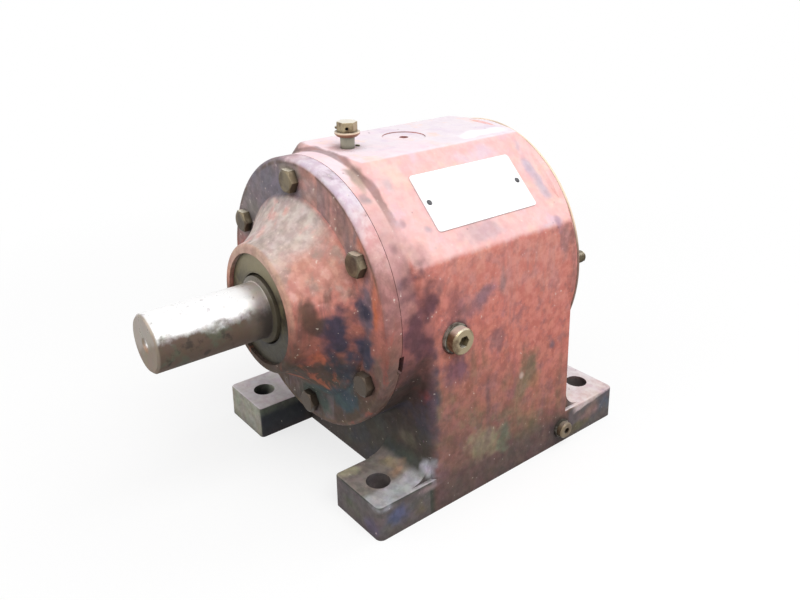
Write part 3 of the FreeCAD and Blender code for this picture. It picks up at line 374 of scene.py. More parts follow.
def housingPaint(coats, look):
    finish = Finish("housing paint", {"Specular IOR Level": 0.35})
    x, y, z = finish.x, finish.y, finish.z
    nx, ny, nz = finish.facing()
    colour, middle, fine, ragged, broad, drips = paintGround(finish, coats)
    uneven = middle - 0.5
    reach = finish.fromAxis()
    soot = finish.noise(64.0, 5.0, 0.62)
    colour = finish.mix(colour, coats["plum"], finish.step(soot, 0.48, 0.64) * 0.45)

    # paler toward the shoulder, darker with brown grime down the sides and toward the front: partly fading and grime,
    # partly painted light above and painted shade below
    pale = finish.step(z + (drips - 0.5) * 0.1 + uneven * 0.1 + y * 0.3, 0.15, 0.225)
    colour = finish.mix(colour, coats["faded"], pale * 0.3)
    low = finish.step(z + (drips - 0.5) * 0.14 + uneven * 0.08 + y * 0.4, 0.16, 0.02)
    patchy = finish.noise(26.0, 6.0, 0.6)
    colour = finish.mix(colour, coats["ochre"], low * finish.step(middle, 0.42, 0.6) * 0.8)
    colour = finish.mix(colour, coats["brownGrimeAndShade"], low * 0.8)
    colour = finish.mix(colour, coats["olive"], low * finish.step(patchy, 0.5, 0.66) * 0.6)
    colour = finish.mix(colour, coats["plum"], low * finish.step(patchy, 0.46, 0.34) * 0.6)
    # the lowest band is darker: grime and painted shade near the floor
    foot = finish.step(z + uneven * 0.03, 0.06, 0.016)
    colour = finish.mix(colour, look["footGrimeAndShade"], foot * 0.75)
    colour = finish.colourPatches(colour, housingMarks, ragged)

    # neck and front wall: darker red going to near black low down, oil and painted shade under the neck
    front = finish.step(y, *look["frontWall"])
    colour = finish.mix(colour, look["neckRed"], front * finish.step(z + uneven * 0.05, 0.235, 0.19) * 0.8)
    oilAndShadeLow = front * finish.step(z + uneven * 0.09, 0.185, 0.125)
    colour = finish.mix(colour, coats["oilAndShade"], oilAndShadeLow * 0.92)
    colour = finish.mix(colour, coats["navy"], oilAndShadeLow * finish.step(patchy, 0.5, 0.64) * 0.55)
    colour = finish.mix(colour, coats["greenBlack"], oilAndShadeLow * finish.step(z, 0.12, 0.06) * 0.7)

    # dust and painted sheen on all that faces up: pink on the slopes, grey on the flat top
    dustAndLightLevel = nz + uneven * 0.3 + (drips - 0.5) * 0.25
    dustAndSheen = finish.step(dustAndLightLevel, 0.2, 0.6) * finish.step(z, 0.1, 0.2)
    colour = finish.mix(colour, coats["pinkDustAndSheen"], dustAndSheen * 0.86)
    flat = finish.step(nz + uneven * 0.1, 0.84, 0.97) * finish.step(z, 0.2, 0.29)
    grey = finish.mix(coats["greyDustAndSheen"], look["topPink"], finish.step(broad - y * 2.2, 0.5, 0.72))
    colour = finish.mix(colour, grey, flat * 0.85)
    slope = finish.step(nz, 0.3, 0.6) * finish.step(z, 0.2, 0.23)
    colour = finish.mix(colour, look["slopeLilac"], slope * finish.step(patchy, 0.52, 0.68) * 0.55)
    colour = finish.mix(colour, look["slopeWarm"], slope * finish.step(patchy, 0.46, 0.34) * 0.5)
    # the neck is painted darker low down as shade and paler near the top as light, with dust
    neck = finish.step(y, *look["neckFrom"]) * finish.step(reach, *look["neckEdge"])
    shaded = finish.mix(look["neckShade"], look["neckPale"], finish.step(z + uneven * 0.05, 0.235, 0.27))
    colour = finish.mix(colour, shaded, neck * finish.step(z, 0.18, 0.21) * finish.step(z, 0.29, 0.27) * 0.8)
    colour = finish.colourPatches(colour, shoulderMarks, ragged)
    colour = finish.colourPatches(colour, neckMarks, ragged)
    # a painted shade line where the neck meets the box front
    seamShade = finish.step(y + uneven * 0.008, *look["seamBack"]) * finish.step(y, *look["seamFront"])
    seamShade = seamShade * finish.step(reach, *look["seamInside"]) * finish.step(reach, *look["seamOutside"])
    seamShade = seamShade * finish.step(z, *look["seamUp"])
    colour = finish.mix(colour, look["seamShade"], seamShade * 0.65)
    # the side facing away from the light is painted darker: painted shade
    far = finish.step(nx, -0.2, -0.6) * finish.step(z, 0.15, 0.2)
    colour = finish.mix(colour, look["farSideShade"], far * 0.5)

    # bare tops of the feet, the near foot's top darker as painted shadow, sides darker with grime and painted shade
    footTop = finish.step(nz, 0.6, 0.9) * finish.step(z, 0.07, 0.05)
    near = finish.step(x, 0.0, 0.02) * finish.step(y, 0.0, -0.02)
    bare = finish.mix(coats["bareIron"], look["nearFootTopShade"], near * 0.95)
    strip = finish.step(x + uneven * 0.01, 0.106, 0.114)
    bare = finish.mix(bare, look["nearFootStrip"], near * strip * 0.9)
    bare = finish.mix(bare, look["nearFootOlive"], near * finish.step(patchy, 0.52, 0.68) * 0.35)
    colour = finish.mix(colour, bare, footTop * 0.92)
    under = finish.step(z, 0.032, 0.028) + finish.step(nz, 0.5, 0.2) * finish.step(z, 0.06, 0.04)
    outside = finish.step(y, -0.1, -0.104) + finish.step(y, 0.084, 0.09)
    colour = finish.mix(colour, look["footSide"], under * outside * 0.75)
    dusted = finish.step(y, 0.09, 0.1) * finish.step(z + uneven * 0.008 - y * 0.12, 0.013, 0.016)
    dusted = dusted * finish.step(x, 0.1, 0.12) * finish.step(z, 0.045, 0.036)
    colour = finish.mix(colour, look["footDust"], dusted * 0.8)
    inner = finish.step(x, 0.0, -0.02) * finish.step(y, -0.1, -0.11) * finish.step(z, 0.06, 0.04)
    colour = finish.mix(colour, look["farFootFront"], inner * finish.step(ny, -0.5, -0.8) * 0.85)
    # painted shadow of the body on the far foot's inner side, lighter along its top edge
    inward = inner * finish.step(nx, 0.4, 0.8)
    colour = finish.mix(colour, look["farFootInsideShadow"], inward * 0.9)
    colour = finish.mix(colour, look["farFootEdge"], inward * finish.step(z + uneven * 0.012, 0.022, 0.032) * 0.7)
    colour = finish.colourPatches(colour, footMarks, ragged)

    colour = wearAndCornerShade(finish, colour, look)
    colour = finish.mottle(colour, 75.0, 0.12 + low * 0.15, 0.65)
    colour = finish.blotch(colour, 120.0, 0.17 - dustAndSheen * 0.1)
    return finish.paint(colour, 0.55 + fine * 0.25, None, [(middle, 0.0012, 0.5), (fine, 0.0005, 0.5)])


coverMarks = [                                     # on the output cover
    # the first two are painted shade on the upper left of the ring
    colourPatch((-0.045, -0.140, 0.275), (0.060, 0.010, 0.040), (0.46, 0.44, 0.48), 0.9),
    colourPatch((-0.080, -0.140, 0.220), (0.035, 0.008, 0.050), (0.52, 0.49, 0.48), 0.8),
    colourPatch((-0.012, -0.140, 0.292), (0.030, 0.010, 0.008), (0.62, 0.57, 0.51), 0.8),
    colourPatch((0.028, -0.140, 0.278), (0.022, 0.008, 0.022), (0.68, 0.60, 0.58), 0.75),
    colourPatch((0.066, -0.140, 0.268), (0.018, 0.008, 0.016), (0.54, 0.42, 0.40), 0.7),
    colourPatch((0.090, -0.140, 0.238), (0.012, 0.008, 0.030), (0.80, 0.48, 0.40), 0.85),
    colourPatch((0.107, -0.140, 0.205), (0.009, 0.008, 0.032), (0.78, 0.43, 0.30), 0.9),
    colourPatch((0.096, -0.141, 0.195), (0.012, 0.010, 0.044), (0.40, 0.37, 0.42), 0.85, soft=0.7),
    colourPatch((0.092, -0.142, 0.165), (0.010, 0.011, 0.028), (0.34, 0.32, 0.36), 0.8),
    colourPatch((0.110, -0.140, 0.150), (0.012, 0.011, 0.030), (0.42, 0.35, 0.32), 0.8),
    colourPatch((0.082, -0.149, 0.171), (0.028, 0.026, 0.040), (0.22, 0.21, 0.28), 0.95, soft=0.6),
    colourPatch((0.064, -0.162, 0.163), (0.014, 0.014, 0.020), (0.34, 0.25, 0.30), 0.8),
    colourPatch((0.072, -0.150, 0.140), (0.028, 0.020, 0.026), (0.22, 0.23, 0.27), 0.9, soft=0.75),
    colourPatch((0.060, -0.172, 0.190), (0.011, 0.016, 0.026), (0.32, 0.24, 0.20), 0.85, soft=0.7),
    colourPatch((0.056, -0.170, 0.150), (0.014, 0.012, 0.012), (0.50, 0.27, 0.28), 0.7),
    colourPatch((0.060, -0.142, 0.105), (0.044, 0.018, 0.026), (0.22, 0.30, 0.34), 0.85, soft=0.7),
    colourPatch((0.010, -0.144, 0.087), (0.048, 0.018, 0.024), (0.26, 0.32, 0.30), 0.85, soft=0.7),
    colourPatch((0.091, -0.140, 0.127), (0.016, 0.012, 0.016), (0.55, 0.46, 0.40), 0.75),
]
coverLook = {
    "lowRed": tint(0.60, 0.38, 0.33),
    "lowBrown": tint(0.28, 0.24, 0.20),
    "salmon": tint(0.80, 0.59, 0.53),
    "orangeRun": tint(0.78, 0.44, 0.33),
    "darkRun": tint(0.40, 0.32, 0.29),
    "bellDustAndLight": tint(0.78, 0.73, 0.71),
    "bellGrey": tint(0.66, 0.60, 0.56),
    "bellPink": tint(0.93, 0.70, 0.66),
    "ring": tint(0.70, 0.56, 0.53),
    "ringRun": tint(0.50, 0.44, 0.45),
    "ringShade": tint(0.50, 0.47, 0.49),
    "brim": tint(0.40, 0.33, 0.26),
    "rimRed": tint(0.62, 0.45, 0.44),
    "rimLow": tint(0.46, 0.38, 0.35),
    "rimBrown": tint(0.34, 0.24, 0.21),
    "rimOrange": tint(0.64, 0.33, 0.29),
    "rimPink": tint(0.90, 0.71, 0.70),
    "rimDustAndLight": tint(0.84, 0.79, 0.84),
    "rimGrey": tint(0.62, 0.54, 0.55),
    "lip": tint(0.76, 0.60, 0.52),
    "bellEdge": (0.094, 0.089),
    "ringFrom": (0.089, 0.094),
    "rimFrom": (0.1185, 0.1215),
    "brimFrom": (0.1165, 0.119),
    "brimTo": (0.1220, 0.1195),
    "lipFrom": (-0.1825, -0.185),
    "speck": tint(0.42, 0.34, 0.36),
    "speckRange": (0.52, 0.6),
    "speckShare": 0.6,
    "chip": tint(0.92, 0.86, 0.80),
    "chipRange": (0.68, 0.74),
    "chipShare": 0.5,
    "corner": tint(0.22, 0.19, 0.17),
    "cornerReach": 0.014,
    "cornerShare": 0.55,
}


def coverPaint(coats, look):
    finish = Finish("cover paint", {"Specular IOR Level": 0.35})
    x, y = finish.x, finish.y
    ny = finish.facing()[1]
    colour, middle, fine, ragged = paintGround(finish, coats)[:4]
    uneven = middle - 0.5
    reach = finish.fromAxis()
    rise = (finish.z - axisHeight) / reach         # 1 straight over the shaft, -1 under it
    runs = finish.noise(1.0, 5.0, 0.6, finish.stretched((52.0, 40.0, 12.0)), 0.5)

    # salmon in the middle, browner and darker going down as painted shade with grime, grey dust with painted light on
    # top
    colour = finish.mix(colour, look["lowRed"], finish.step(rise + uneven * 0.5, 0.4, -0.1) * 0.85)
    dark = finish.step(rise + uneven * 0.6, -0.12, -0.7)
    colour = finish.mix(colour, look["lowBrown"], dark * 0.94)
    bell = finish.step(reach, *look["bellEdge"])
    upper = finish.step(rise + uneven * 0.3, 0.15, 0.6)
    colour = finish.mix(colour, look["salmon"], bell * upper * 0.8)
    top = finish.step(rise - x * 3.0 + uneven * 0.5, 0.5, 0.9)
    streaked = bell * finish.step(rise + uneven * 0.3, 0.6, 0.3)
    colour = finish.mix(colour, look["orangeRun"], finish.step(runs, 0.45, 0.35) * streaked * 0.65)
    colour = finish.mix(colour, look["darkRun"], finish.step(runs, 0.5, 0.64) * streaked * 0.75)
    # the pale top of the bell: dust and painted light
    colour = finish.mix(colour, look["bellDustAndLight"], bell * top * 0.85)
    clouds = finish.noise(48.0, 3.0, 0.55)
    highUp = finish.step(rise, 0.1, 0.5)
    colour = finish.mix(colour, look["bellGrey"], bell * finish.step(clouds, 0.5, 0.66) * highUp * 0.55)
    colour = finish.mix(colour, look["bellPink"], bell * finish.step(clouds, 0.46, 0.32) * highUp * 0.5)
    outer = finish.step(reach, *look["ringFrom"])
    ring = outer * finish.step(ny, -0.6, -0.9)
    colour = finish.mix(colour, look["ring"], ring * upper * 0.75)
    colour = finish.mix(colour, look["ringRun"], ring * finish.step(runs, 0.5, 0.62) * 0.6)
    shade = outer * finish.step(x + uneven * 0.05, 0.02, -0.02) * finish.step(rise, 0.1, 0.4)
    colour = finish.mix(colour, look["ringShade"], shade * 0.9)
    colour = finish.colourPatches(colour, coverMarks, ragged)

    # the rounded edge and the outside: darker low down with painted shade and runs, pink with dust and painted light
    # on top
    rim = finish.step(reach + uneven * 0.003, *look["rimFrom"]) * finish.step(x + uneven * 0.03, -0.03, 0.01)
    dustAndLightLevel = rise + uneven * 0.25
    brim = finish.step(reach, *look["brimFrom"]) * finish.step(reach, *look["brimTo"])
    colour = finish.mix(colour, look["brim"], brim * finish.step(runs, 0.4, 0.55) * 0.7)
    colour = finish.mix(colour, look["rimRed"], rim * finish.step(dustAndLightLevel, -0.1, 0.2) * 0.85)
    colour = finish.mix(colour, look["rimLow"], rim * finish.step(dustAndLightLevel, 0.15, -0.2) * 0.75)
    lowRim = finish.step(dustAndLightLevel, 0.35, 0.0)
    colour = finish.mix(colour, look["rimBrown"], rim * finish.step(runs, 0.48, 0.6) * lowRim * 0.8)
    colour = finish.mix(colour, look["rimOrange"], rim * finish.step(runs, 0.44, 0.34) * lowRim * 0.6)
    colour = finish.mix(colour, look["rimPink"], rim * finish.step(dustAndLightLevel, 0.32, 0.68) * 0.9)
    colour = finish.mix(colour, look["rimDustAndLight"], rim * finish.step(dustAndLightLevel, 0.62, 0.86) * 0.9)
    greyRun = finish.step(runs, 0.54, 0.66)
    colour = finish.mix(colour, look["rimGrey"], rim * greyRun * finish.step(rise, 0.3, 0.5) * 0.55)
    lip = finish.step(y, *look["lipFrom"])
    colour = finish.mix(colour, look["lip"], lip * finish.step(rise, -0.3, 0.5) * 0.7)

    colour = wearAndCornerShade(finish, colour, look)
    colour = finish.mottle(colour, 75.0, 0.15 + dark * 0.15, 0.65)
    colour = finish.blotch(colour, 120.0, 0.17)
    return finish.paint(colour, 0.55 + fine * 0.25, None, [(middle, 0.0012, 0.5), (fine, 0.0005, 0.5)])


def dress(names, material):
    for name in names:
        mesh = nodes[name].data
        mesh.materials.clear()
        mesh.materials.append(material)


castings = ["housing", "front_left_foot", "front_right_foot", "rear_left_foot", "rear_right_foot", "lifting_insert"]
dress(castings, housingPaint(redPaint, housingLook))
dress(["output_cover"], coverPaint(redPaint, coverLook))
print("castings painted")


# ground shaft end, white on top as a painted reflection, dark below with stains and painted shade
shaftLook = {
    "bright": tint(0.99, 0.99, 0.99),
    "brown": tint(0.35, 0.27, 0.21),
    "olive": tint(0.35, 0.38, 0.31),
    "black": tint(0.14, 0.11, 0.09),
    "endFace": tint(0.58, 0.52, 0.46),
    "rust": tint(0.66, 0.48, 0.36),
    "turned": tint(0.85, 0.84, 0.84),
    "nearSeal": tint(0.62, 0.55, 0.50),
    "shoulder": tint(0.33, 0.30, 0.23),
    "up": (0.51, 0.86),                            # the page's upward direction, along -X and Z
    "sealFrom": (-0.214, -0.19),
    "shoulderFrom": (0.0252, 0.0262),
    "faceFrom": (-0.2835, -0.2852),
    "rustAt": (0.0, -0.286, 0.178),
    "rustReach": (0.008, 0.02, 0.007),
}


def shaftSteel(look):
    finish = Finish("shaft steel", {"Specular IOR Level": 0.6})
    broad = finish.noise(45.0, 6.0, 0.62)
    fine = finish.noise(230.0, 5.0, 0.6)
    turning = finish.noise(1.0, 3.0, 0.6, finish.stretched((30.0, 900.0, 30.0)))
    upX, upZ = look["up"]
    side = (finish.z - axisHeight) * upZ - finish.x * upX     # across the shaft
    wavy = (broad - 0.5) * 0.03
    # the side below the shaft's middle, as seen, is painted dark: stains and painted shade
    stainedAndShadedSide = finish.step(side + wavy, 0.002, -0.007)
    colour = finish.mix(look["bright"], look["turned"], turning * 0.2)
    colour = finish.mix(colour, look["brown"], stainedAndShadedSide * 0.98)
    colour = finish.mix(colour, look["olive"], stainedAndShadedSide * finish.step(broad, 0.5, 0.62) * 0.7)
    colour = finish.mix(colour, look["black"], stainedAndShadedSide * finish.step(finish.noise(70.0, 5.0), 0.54, 0.66) * 0.7)
    nearSeal = finish.step(finish.y + wavy, *look["sealFrom"])
    colour = finish.mix(colour, look["nearSeal"], nearSeal * 0.75)
    sealSide = finish.step(side + wavy, 0.012, -0.006)
    colour = finish.mix(colour, look["black"], nearSeal * sealSide * 0.9)
    shoulder = finish.step(finish.fromAxis(), *look["shoulderFrom"])
    colour = finish.mix(colour, look["shoulder"], shoulder * 0.9)
    spots = finish.step(finish.noise(150.0, 2.0, 0.4), 0.66, 0.72)
    colour = finish.mix(colour, look["brown"], spots * 0.3)
    face = finish.step(finish.y, *look["faceFrom"])
    colour = finish.mix(colour, look["endFace"], face * 0.95)
    centre = finish.spot(look["rustAt"], look["rustReach"], broad - 0.5)
    colour = finish.mix(colour, look["rust"], face * centre * 0.9)
    colour = finish.mottle(colour, 120.0, 0.15)
    shine = 0.3 + stainedAndShadedSide * 0.4 + (fine - 0.5) * 0.2
    return finish.paint(colour, shine, 0.3 - stainedAndShadedSide * 0.25, [(turning, 0.00008, 0.5), (fine, 0.0001, 0.4)], 0.0006)


boltLook = {
    "head": tint(0.47, 0.42, 0.33),
    "worn": tint(0.30, 0.25, 0.20),
    "lit": tint(0.93, 0.90, 0.82),
    "under": tint(0.20, 0.15, 0.12),
    "low": tint(0.29, 0.24, 0.20),
    "corner": tint(0.13, 0.11, 0.09),
}


def darkBolt(look):                                # oiled bolt heads, pale where the light catches them as a painted highlight, with painted shade on their undersides and grime and painted shade on the bolts below the shaft
    finish = Finish("bolt steel", {"Metallic": 0.55})
    broad = finish.noise(60.0, 5.0, 0.6)
    fine = finish.noise(260.0, 5.0, 0.6)
    nz = finish.facing()[2]
    colour = finish.mix(look["head"], look["worn"], finish.step(broad, 0.42, 0.66))
    colour = finish.mix(colour, look["lit"], finish.step(nz + (fine - 0.5) * 0.2, 0.45, 0.85) * 0.85)
    colour = finish.mix(colour, look["under"], finish.step(nz, -0.2, -0.8) * 0.8)
    colour = finish.mix(colour, look["low"], finish.step(finish.z + (broad - 0.5) * 0.05, 0.18, 0.14) * 0.9)
    colour = finish.cornerDirtAndShade(colour, look["corner"], 0.006, 0.8)
    return finish.paint(colour, 0.38 + (fine - 0.5) * 0.3, None, [(fine, 0.0002, 0.5)], 0.0008)


zincLook = {
    "zinc": tint(0.68, 0.62, 0.50),
    "dulled": tint(0.44, 0.36, 0.27),
    "lit": tint(0.97, 0.95, 0.90),
    "stem": tint(0.55, 0.57, 0.52),
    "collar": tint(0.60, 0.40, 0.32),
    "collarTop": tint(0.97, 0.90, 0.80),
    "stemFrom": (0.3, 0.304),
    "stemTo": (0.3156, 0.3150),
    "collarFrom": (0.3150, 0.3156),
    "collarLit": (0.3178, 0.3188),
    "collarTo": (0.3196, 0.3192),
    "low": tint(0.44, 0.37, 0.30),
    "corner": tint(0.16, 0.13, 0.10),
}


def platedSteel(look):                             # dulled yellow zinc on the plugs and breather, with a painted highlight on the tops and on the collar's top
    finish = Finish("plated steel", {"Metallic": 0.6})
    broad = finish.noise(70.0, 5.0, 0.6)
    fine = finish.noise(300.0, 5.0, 0.6)
    z, nz = finish.z, finish.facing()[2]
    colour = finish.mix(look["zinc"], look["dulled"], finish.step(broad, 0.45, 0.65))
    colour = finish.mix(colour, look["lit"], finish.step(nz + (fine - 0.5) * 0.2, 0.55, 0.95) * 0.75)
    stem = finish.step(z, *look["stemTo"]) * finish.step(z, *look["stemFrom"])
    colour = finish.mix(colour, look["stem"], stem * 0.8)
    collar = finish.step(z, *look["collarFrom"]) * finish.step(z, *look["collarTo"])
    colour = finish.mix(colour, look["collar"], collar * 0.7)
    colour = finish.mix(colour, look["collarTop"], collar * finish.step(z, *look["collarLit"]) * 0.8)
    low = finish.step(z, 0.06, 0.03)
    colour = finish.mix(colour, look["low"], low * 0.7)
    colour = finish.cornerDirtAndShade(colour, look["corner"], 0.006, 0.8)
    return finish.paint(colour, 0.34 + (fine - 0.5) * 0.3, None, [(fine, 0.00015, 0.5)], 0.0007)


flangeLook = {
    "turned": tint(0.60, 0.58, 0.55),
    "groove": tint(0.46, 0.43, 0.40),
    "lowRim": tint(0.56, 0.43, 0.38),
    "primer": tint(0.97, 0.87, 0.76),
    "rimFrom": (0.1215, 0.1245),
    "rust": tint(0.45, 0.30, 0.24),
    "corner": tint(0.18, 0.15, 0.13),
}


def flangeIron(look):                              # cream primer on the rim, brown low on the rim as painted shade, turned iron behind
    finish = Finish("flange iron", {"Metallic": 0.0})
    broad = finish.noise(30.0, 5.0, 0.6)
    fine = finish.noise(220.0, 5.0, 0.6)
    reach = finish.fromAxis()
    rings = finish.noise(900.0, 2.0, 0.5, finish.node("CombineXYZ", sockets={0: reach}))
    colour = finish.mix(look["turned"], look["groove"], rings)
    rim = finish.step(reach, *look["rimFrom"])
    high = finish.step(finish.z + (broad - 0.5) * 0.05, 0.2, 0.24)
    paint = finish.mix(look["lowRim"], look["primer"], high)
    colour = finish.mix(colour, paint, rim * 0.95)
    colour = finish.mix(colour, look["rust"], finish.step(broad, 0.55, 0.7) * 0.35)
    colour = finish.cornerDirtAndShade(colour, look["corner"], 0.008, 0.7)
    return finish.paint(colour, 0.5 + (fine - 0.5) * 0.3, None, [(rings, 0.00005, 0.5), (fine, 0.0002, 0.4)], 0.0008)


sealLook = {
    "grease": tint(0.40, 0.37, 0.27),
    "oldGrease": tint(0.25, 0.22, 0.16),
    "lip": tint(0.14, 0.12, 0.10),
    "lipTo": (0.0345, 0.0325),
    "dust": tint(0.62, 0.58, 0.46),
    "low": tint(0.13, 0.11, 0.09),
    "corner": tint(0.12, 0.10, 0.08),
}


def sealRubber(look):                              # olive grease over dark rubber, in rings
    finish = Finish("seal rubber")
    broad = finish.noise(80.0, 5.0, 0.6)
    fine = finish.noise(260.0, 5.0, 0.6)
    colour = finish.mix(look["grease"], look["oldGrease"], finish.step(broad, 0.42, 0.62))
    colour = finish.mix(colour, look["lip"], finish.step(finish.fromAxis(), *look["lipTo"]) * 0.7)
    colour = finish.mix(colour, look["dust"], finish.step(finish.z + (broad - 0.5) * 0.02, 0.195, 0.222) * 0.65)
    colour = finish.mix(colour, look["low"], finish.step(finish.z, 0.19, 0.15) * 0.65)
    colour = finish.cornerDirtAndShade(colour, look["corner"], 0.005, 0.8)
    return finish.paint(colour, 0.5 + (fine - 0.5) * 0.3, None, [(fine, 0.0003, 0.5)])


plateLook = {
    "bright": tint(0.99, 0.99, 0.99),
    "haze": tint(0.95, 0.95, 0.96),
}


def plateMetal(look):                              # bare bright plate with a little haze
    finish = Finish("plate metal", {"Metallic": 0.1, "Specular IOR Level": 0.4})
    haze = finish.noise(60.0, 4.0, 0.5)
    brushed = finish.noise(1.0, 3.0, 0.6, finish.stretched((400.0, 30.0, 400.0)))
    colour = finish.mix(look["bright"], look["haze"], haze * 0.4)
    return finish.paint(colour, 0.45 + brushed * 0.15, None, [(brushed, 0.00004, 0.3)])


rivetLook = {
    "pale": tint(0.42, 0.42, 0.44),
    "dark": tint(0.24, 0.23, 0.23),
}


def rivetMetal(look):
    finish = Finish("rivet metal", {"Metallic": 0.6})
    fine = finish.noise(400.0, 4.0, 0.5)
    colour = finish.mix(look["pale"], look["dark"], fine)
    return finish.paint(colour, 0.45 + fine * 0.2, None, [(fine, 0.0001, 0.4)])


washerLook = {
    "ring": tint(0.30, 0.28, 0.25),
    "face": tint(0.66, 0.64, 0.60),
}


def washerMetal(look):                             # dark bonded ring with a pale face
    finish = Finish("washer metal", {"Metallic": 0.5})
    fine = finish.noise(300.0, 4.0, 0.5)
    ring = finish.noise(90.0, 3.0, 0.5)
    colour = finish.mix(look["ring"], look["face"], finish.step(ring, 0.45, 0.65))
    return finish.paint(colour, 0.4 + fine * 0.2, None, [(fine, 0.0002, 0.4)])


gasketLook = {
    "fibre": tint(0.42, 0.37, 0.30),
    "soaked": tint(0.22, 0.19, 0.16),
    "weave": tint(0.55, 0.50, 0.42),
}


def gasketFibre(look):
    finish = Finish("gasket fibre")
    weave = finish.noise(500.0, 5.0, 0.65)
    soaked = finish.noise(35.0, 4.0, 0.5)
    colour = finish.mix(look["fibre"], look["soaked"], finish.step(soaked, 0.4, 0.65))
    colour = finish.mix(colour, look["weave"], weave * 0.3)
    return finish.paint(colour, 0.75 + weave * 0.2, None, [(weave, 0.0002, 0.6)])


oiledLooks = {
    "gear steel": {"pale": tint(0.70, 0.69, 0.67), "dark": tint(0.48, 0.46, 0.44), "shine": 0.3},
    "small steel": {"pale": tint(0.62, 0.62, 0.62), "dark": tint(0.40, 0.39, 0.38), "shine": 0.38},
    "bearing steel": {"pale": tint(0.80, 0.80, 0.80), "dark": tint(0.58, 0.58, 0.58), "shine": 0.18},
}
oilFilm = tint(0.42, 0.33, 0.22)


def oiledSteel(name, look):                        # machined pieces inside, under a film of oil
    finish = Finish(name, {"Metallic": 0.85, "Coat Roughness": 0.15})
    broad = finish.noise(50.0, 5.0, 0.6)
    fine = finish.noise(280.0, 4.0, 0.55)
    lines = finish.noise(1.0, 3.0, 0.6, finish.stretched((60.0, 1200.0, 60.0)))
    colour = finish.mix(look["pale"], look["dark"], finish.step(broad, 0.4, 0.7) * 0.7)
    colour = finish.mix(colour, oilFilm, finish.step(finish.noise(22.0, 4.0), 0.52, 0.7) * 0.4)
    finish.plug(finish.shader.inputs["Coat Weight"], finish.step(broad, 0.35, 0.65) * 0.4)
    shine = look["shine"] + (fine - 0.5) * 0.2
    return finish.paint(colour, shine, None, [(lines, 0.00006, 0.4), (fine, 0.0001, 0.3)], 0.0004)


inside = [name for name in nodes if "bearing" in name]
wheels = ["output_wheel", "intermediate_shaft", "intermediate_wheel", "input_shaft"]
trim = ["output_wheel_key", "output_spacer", "output_snap_ring", "intermediate_key", "intermediate_snap_rings",
        "input_spacer", "input_snap_ring", "input_hub_ring"]
boltSteel = darkBolt(boltLook)
zincSteel = platedSteel(zincLook)
rubber = sealRubber(sealLook)
dress(["output_shaft"], shaftSteel(shaftLook))
dress(["cover_bolts", "motor_studs", "flange_screws"], boltSteel)
dress(["breather_stem", "breather_collar", "breather_cap", "level_plug", "drain_plug"], zincSteel)
dress(["motor_flange"], flangeIron(flangeLook))
dress(["output_seal", "input_seal"], rubber)
dress(["nameplate"], plateMetal(plateLook))
dress(["nameplate_rivets"], rivetMetal(rivetLook))
dress(["level_plug_washer", "drain_plug_washer"], washerMetal(washerLook))
dress(["cover_gasket", "flange_gasket"], gasketFibre(gasketLook))
dress(wheels, oiledSteel("gear steel", oiledLooks["gear steel"]))
dress(trim, oiledSteel("small steel", oiledLooks["small steel"]))
dress(inside, oiledSteel("bearing steel", oiledLooks["bearing steel"]))
print("nodes dressed")


# visual pieces in bmesh, each at the origin with its place in the mesh
weldReach = 0.000001


def keepPiece(name, bm, material, body, smooth=True):
    bmesh.ops.remove_doubles(bm, verts=bm.verts, dist=weldReach)
    bmesh.ops.recalc_face_normals(bm, faces=bm.faces)
    for face in bm.faces:
        face.smooth = smooth
    mesh = bpy.data.meshes.new(name)
    bm.to_mesh(mesh)
    bm.free()
    mesh.materials.append(material)
    piece = bpy.data.objects.new(name, mesh)
    scene.collection.objects.link(piece)
    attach(piece, body)
    return piece


def profileOf(bm, points, place):                  # a chain of edges from (radius, y) pairs
    verts = [bm.verts.new(place + Vector((radius, y, 0))) for radius, y in points]
    return verts, [bm.edges.new(pair) for pair in zip(verts, verts[1:])]


def turnedPiece(bm, points, place, steps=48):      # full turn about an axis along Y
    verts, edges = profileOf(bm, points, place)
    bmesh.ops.spin(bm, geom=verts + edges, cent=place, axis=(0, 1, 0), angle=2 * math.pi, steps=steps, use_merge=True)


studs = {
    "circle": 0.1075,
    "turn": 4.0,
    "core": 0.0053,
    "crest": 0.006,
    "pitch": 0.00175,
    "flank": 0.46,                                 # half the ridge's width, in pitches
    "flat": 0.15,                                  # half the crest's width, in flanks
    "sunk": 0.0002,
    "stepsPerTurn": 28,
    "root": [(0.0, 0.056), (0.0066, 0.056), (0.0066, 0.0755), (0.0053, 0.0755), (0.0053, 0.1125),
             (0.004, 0.114), (0.0, 0.114)],
    "threadFrom": 0.0868,
    "threadTo": 0.1115,
}


def makeStuds(look):
    bm = bmesh.new()
    for quarter in range(4):
        angle = math.radians(look["turn"] + 90 * quarter)
        place = Vector((look["circle"] * math.cos(angle), 0, axisHeight + look["circle"] * math.sin(angle)))
        turnedPiece(bm, look["root"], place)
        half = look["pitch"] * look["flank"]
        start = look["threadFrom"]
        foot = look["core"] - look["sunk"]
        ridge = [(foot, start - half), (look["crest"], start - half * look["flat"]),
                 (look["crest"], start + half * look["flat"]), (foot, start + half)]
        verts, edges = profileOf(bm, ridge, place)
        edges.append(bm.edges.new((verts[-1], verts[0])))
        threadLength = look["threadTo"] - look["threadFrom"]
        turns = threadLength / look["pitch"]
        steps = int(turns * look["stepsPerTurn"])
        done = bmesh.ops.spin(bm, geom=verts + edges, cent=place, axis=(0, 1, 0), angle=turns * 2 * math.pi,
                              steps=steps, dvec=(0, threadLength / steps, 0))
        last = [item for item in done["geom_last"] if isinstance(item, bmesh.types.BMEdge)]
        bmesh.ops.holes_fill(bm, edges=edges, sides=4)
        bmesh.ops.holes_fill(bm, edges=last, sides=4)
    piece = keepPiece("threaded_studs", bm, boltSteel, "casing", smooth=False)
    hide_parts("motor_studs")


